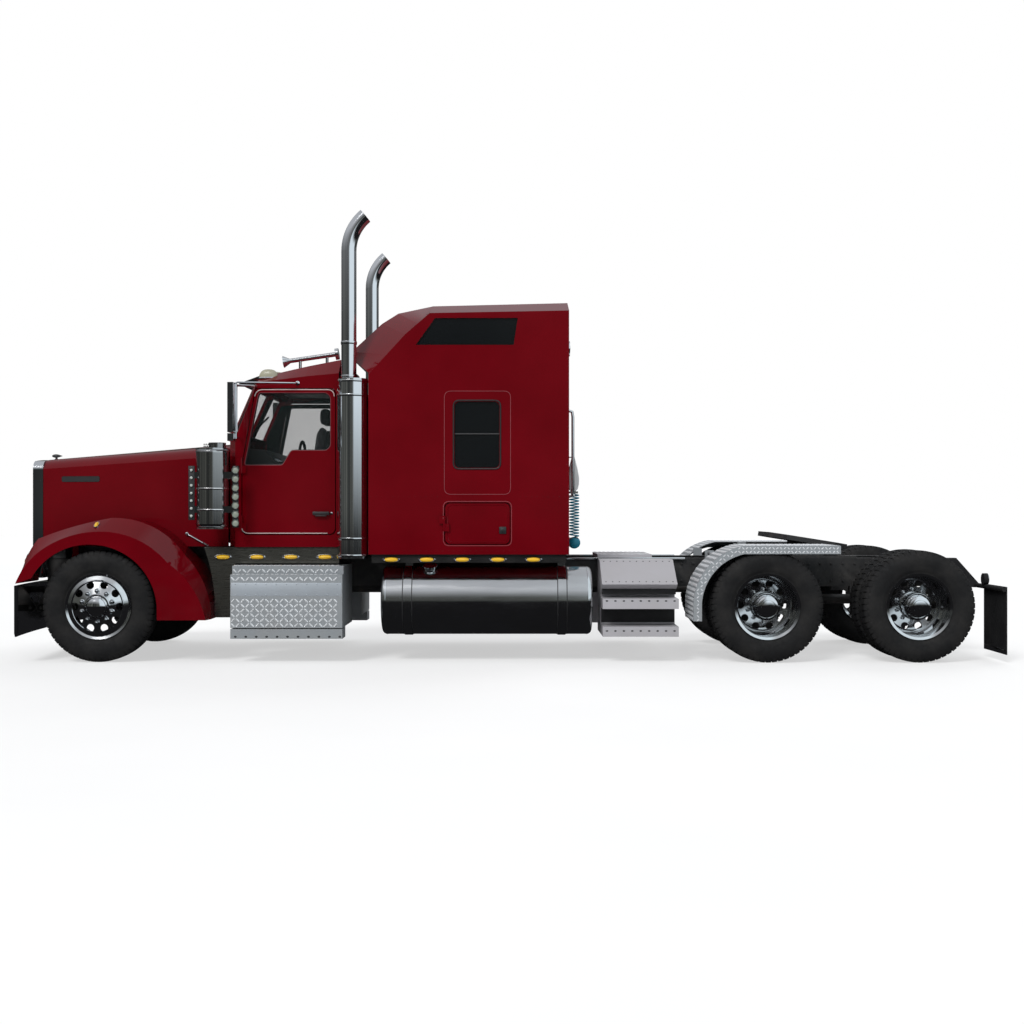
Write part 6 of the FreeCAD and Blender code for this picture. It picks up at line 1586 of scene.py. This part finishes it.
SEAT_Y = 470
GAUGES = ((-560, 1850, 44), (-440, 1850, 44), (-650, 1850, 26), (-350, 1850, 26), (-300, 1850, 22))
DASH = [
    (-2440, 1106), (-2365, 1106), (-2340, 1530), (-2112, 1662), (-2120, 1790), (-2262, 1944),
    (-2440, 1958),
]


def add_dashboard(piece):
    rows = []
    for y, back in ((-770, 0), (-300, 0), (-260, 24), (770, 24)):
        rows.append([at(x - back if x > -2300 else x, y, z) for x, z in DASH])
    piece.rows(TRIM, rows)
    way = at(0.73, 0, 0.68).normalized()
    for y, z, r in GAUGES:
        hit = at(-2176, y, z)
        rim = [(-14, 0), (-14, r + 4), (4, r + 4), (6, r), (1, r - 2), (0, 0)]
        piece.turned(CHROME, hit, way, rim, 28)
        piece.turned(PALE, hit + way * 1.4, way, [(-2, 0), (-2, r - 4), (0, r - 4), (0.4, 0)], 28)


def add_controls(piece):
    """Steering wheel with its column, and the gear lever."""
    wheel = at(-1945, -SEAT_Y, 1810)
    ring = [wheel + (Y * math.cos(a) + Z * math.sin(a)) * 222 for a in turns(56)]
    piece.tube(BLACK_PLASTIC, ring, 14, 12, True)
    boss = [(-60, 0), (-60, 40), (-10, 62), (8, 58), (14, 40), (15, 0)]
    piece.turned(BLACK_PLASTIC, wheel - X * 14, X, boss, 36)
    for a in (math.radians(20), math.radians(160), math.radians(270)):
        way = Y * math.cos(a) + Z * math.sin(a)
        spoke = [wheel - X * 20 + way * 40, wheel - X * 14 + way * 130, wheel + way * 214]
        piece.tube(CHROME, spoke, [13, 11, 9], 10)
    piece.tube(BLACK_PLASTIC, [at(-2260, -SEAT_Y, 1800), at(-1990, -SEAT_Y, 1810)], [46, 34], 20)
    lever = [at(-1905, -190, 1106), at(-1915, -185, 1360), at(-1930, -180, 1500)]
    piece.tube(CHROME, lever, 10, 10)
    knob = [(-8, 0), (-8, 18), (14, 28), (34, 26), (44, 0)]
    piece.turned(BLACK_PLASTIC, lever[-1], Z, knob, 20)


def make_cab_inside():
    piece = Piece("cab_furniture")
    piece.slab(HEADLINER, at(-2440, -815, 1092), at(-1592, 815, 1106), 3)
    add_dashboard(piece)
    add_controls(piece)
    for side in BOTH:
        y = side * SEAT_Y
        bellows = [(18 * i, 146 if i % 2 else 128) for i in range(13)]
        piece.turned(BLACK_PLASTIC, at(-1890, y, 1112), Z, [(0, 0), *bellows, (216, 0)], 32)
        piece.slab(BLACK_PLASTIC, at(-2110, y - 225, 1322), at(-1665, y + 225, 1352), 10)
        belt = [at(-1700, y - 232, 1400), at(-1690, y - 232, 1500)]
        piece.tube(BLACK_PLASTIC, belt, 12, 10)
        rest = y - side * 262
        piece.slab(BLACK_PLASTIC, at(-1960, rest - 24, 1650), at(-1700, rest + 24, 1700), 16)
    piece.slab(HEADLINER, at(-2330, -840, 2548), at(-1600, 840, 2558), 4)
    for side in BOTH:
        piece.slab(HEADLINER, at(-1602, side * SEAT_Y, 1120), at(-1593, side * 850, 2545), 4)
    piece.done("cab_interior")
    lean = Matrix.Rotation(math.atan2(90, 700), 3, "Y")
    for name, side in SIDES.items():
        y = side * SEAT_Y
        cushion(f"seat_cushion_{name}", at(-2124, y - 252, 1356), at(-1668, y + 252, 1478))
        cushion(f"seat_back_{name}", at(-1822, y - 250, 1486), at(-1706, y + 250, 2164), lean)
        low, high = at(-1772, y - 122, 2186), at(-1660, y + 122, 2338)
        cushion(f"head_rest_{name}", low, high, cap=7.0)


BOOT_FRONT, BOOT_LENGTH = -1538, 290
BOOT_FOLDS = 6
BOOT_DEPTH = 24


def make_boot():
    """Folded rubber boot between the cab and the sleeper."""
    piece = Piece("boot_bellows")
    outer, inner = [], []
    for i in range(2 * BOOT_FOLDS + 1):
        x = BOOT_FRONT + BOOT_LENGTH * i / (2 * BOOT_FOLDS)
        grow = 0 if i % 2 else -BOOT_DEPTH
        for loops, wall, radius in ((outer, 0, 90), (inner, 20, 80)):
            half, low, high = 488 - wall + grow, 1142 + wall - grow, 2338 - wall + grow
            corners = [at(x, y, z) for y, z in rectangle(-half, half, low, high)]
            loops.append(rounded_loop(corners, radius, 5))
    piece.rows(FLAP, outer + inner[::-1], True)
    piece.done("sleeper_boot")


def put_away():
    """Takes the unit fittings out of the scene once every piece has its own."""
    for form in FITTINGS:
        bpy.data.objects.remove(form)


finish_nodes()
make_stage()
make_air_line()
make_hose_holder()
make_wheels()
make_door_trim()
make_sleeper_trim()
make_luggage_trim()
make_hood_trim()
make_grille_trim()
make_marker_lamps()
make_cleaner_lamps()
make_headlamps()
make_tail_lamps()
make_step_trim()
make_quarter_treads()
make_tank_trim()
make_exhaust_trim()
make_frame_trim()
make_bumper_trim()
make_wipers()
cab_roof = surface("cab_shell")
make_roof_lamps(cab_roof)
make_mirrors(cab_roof)
make_cab_inside()
make_boot()
put_away()
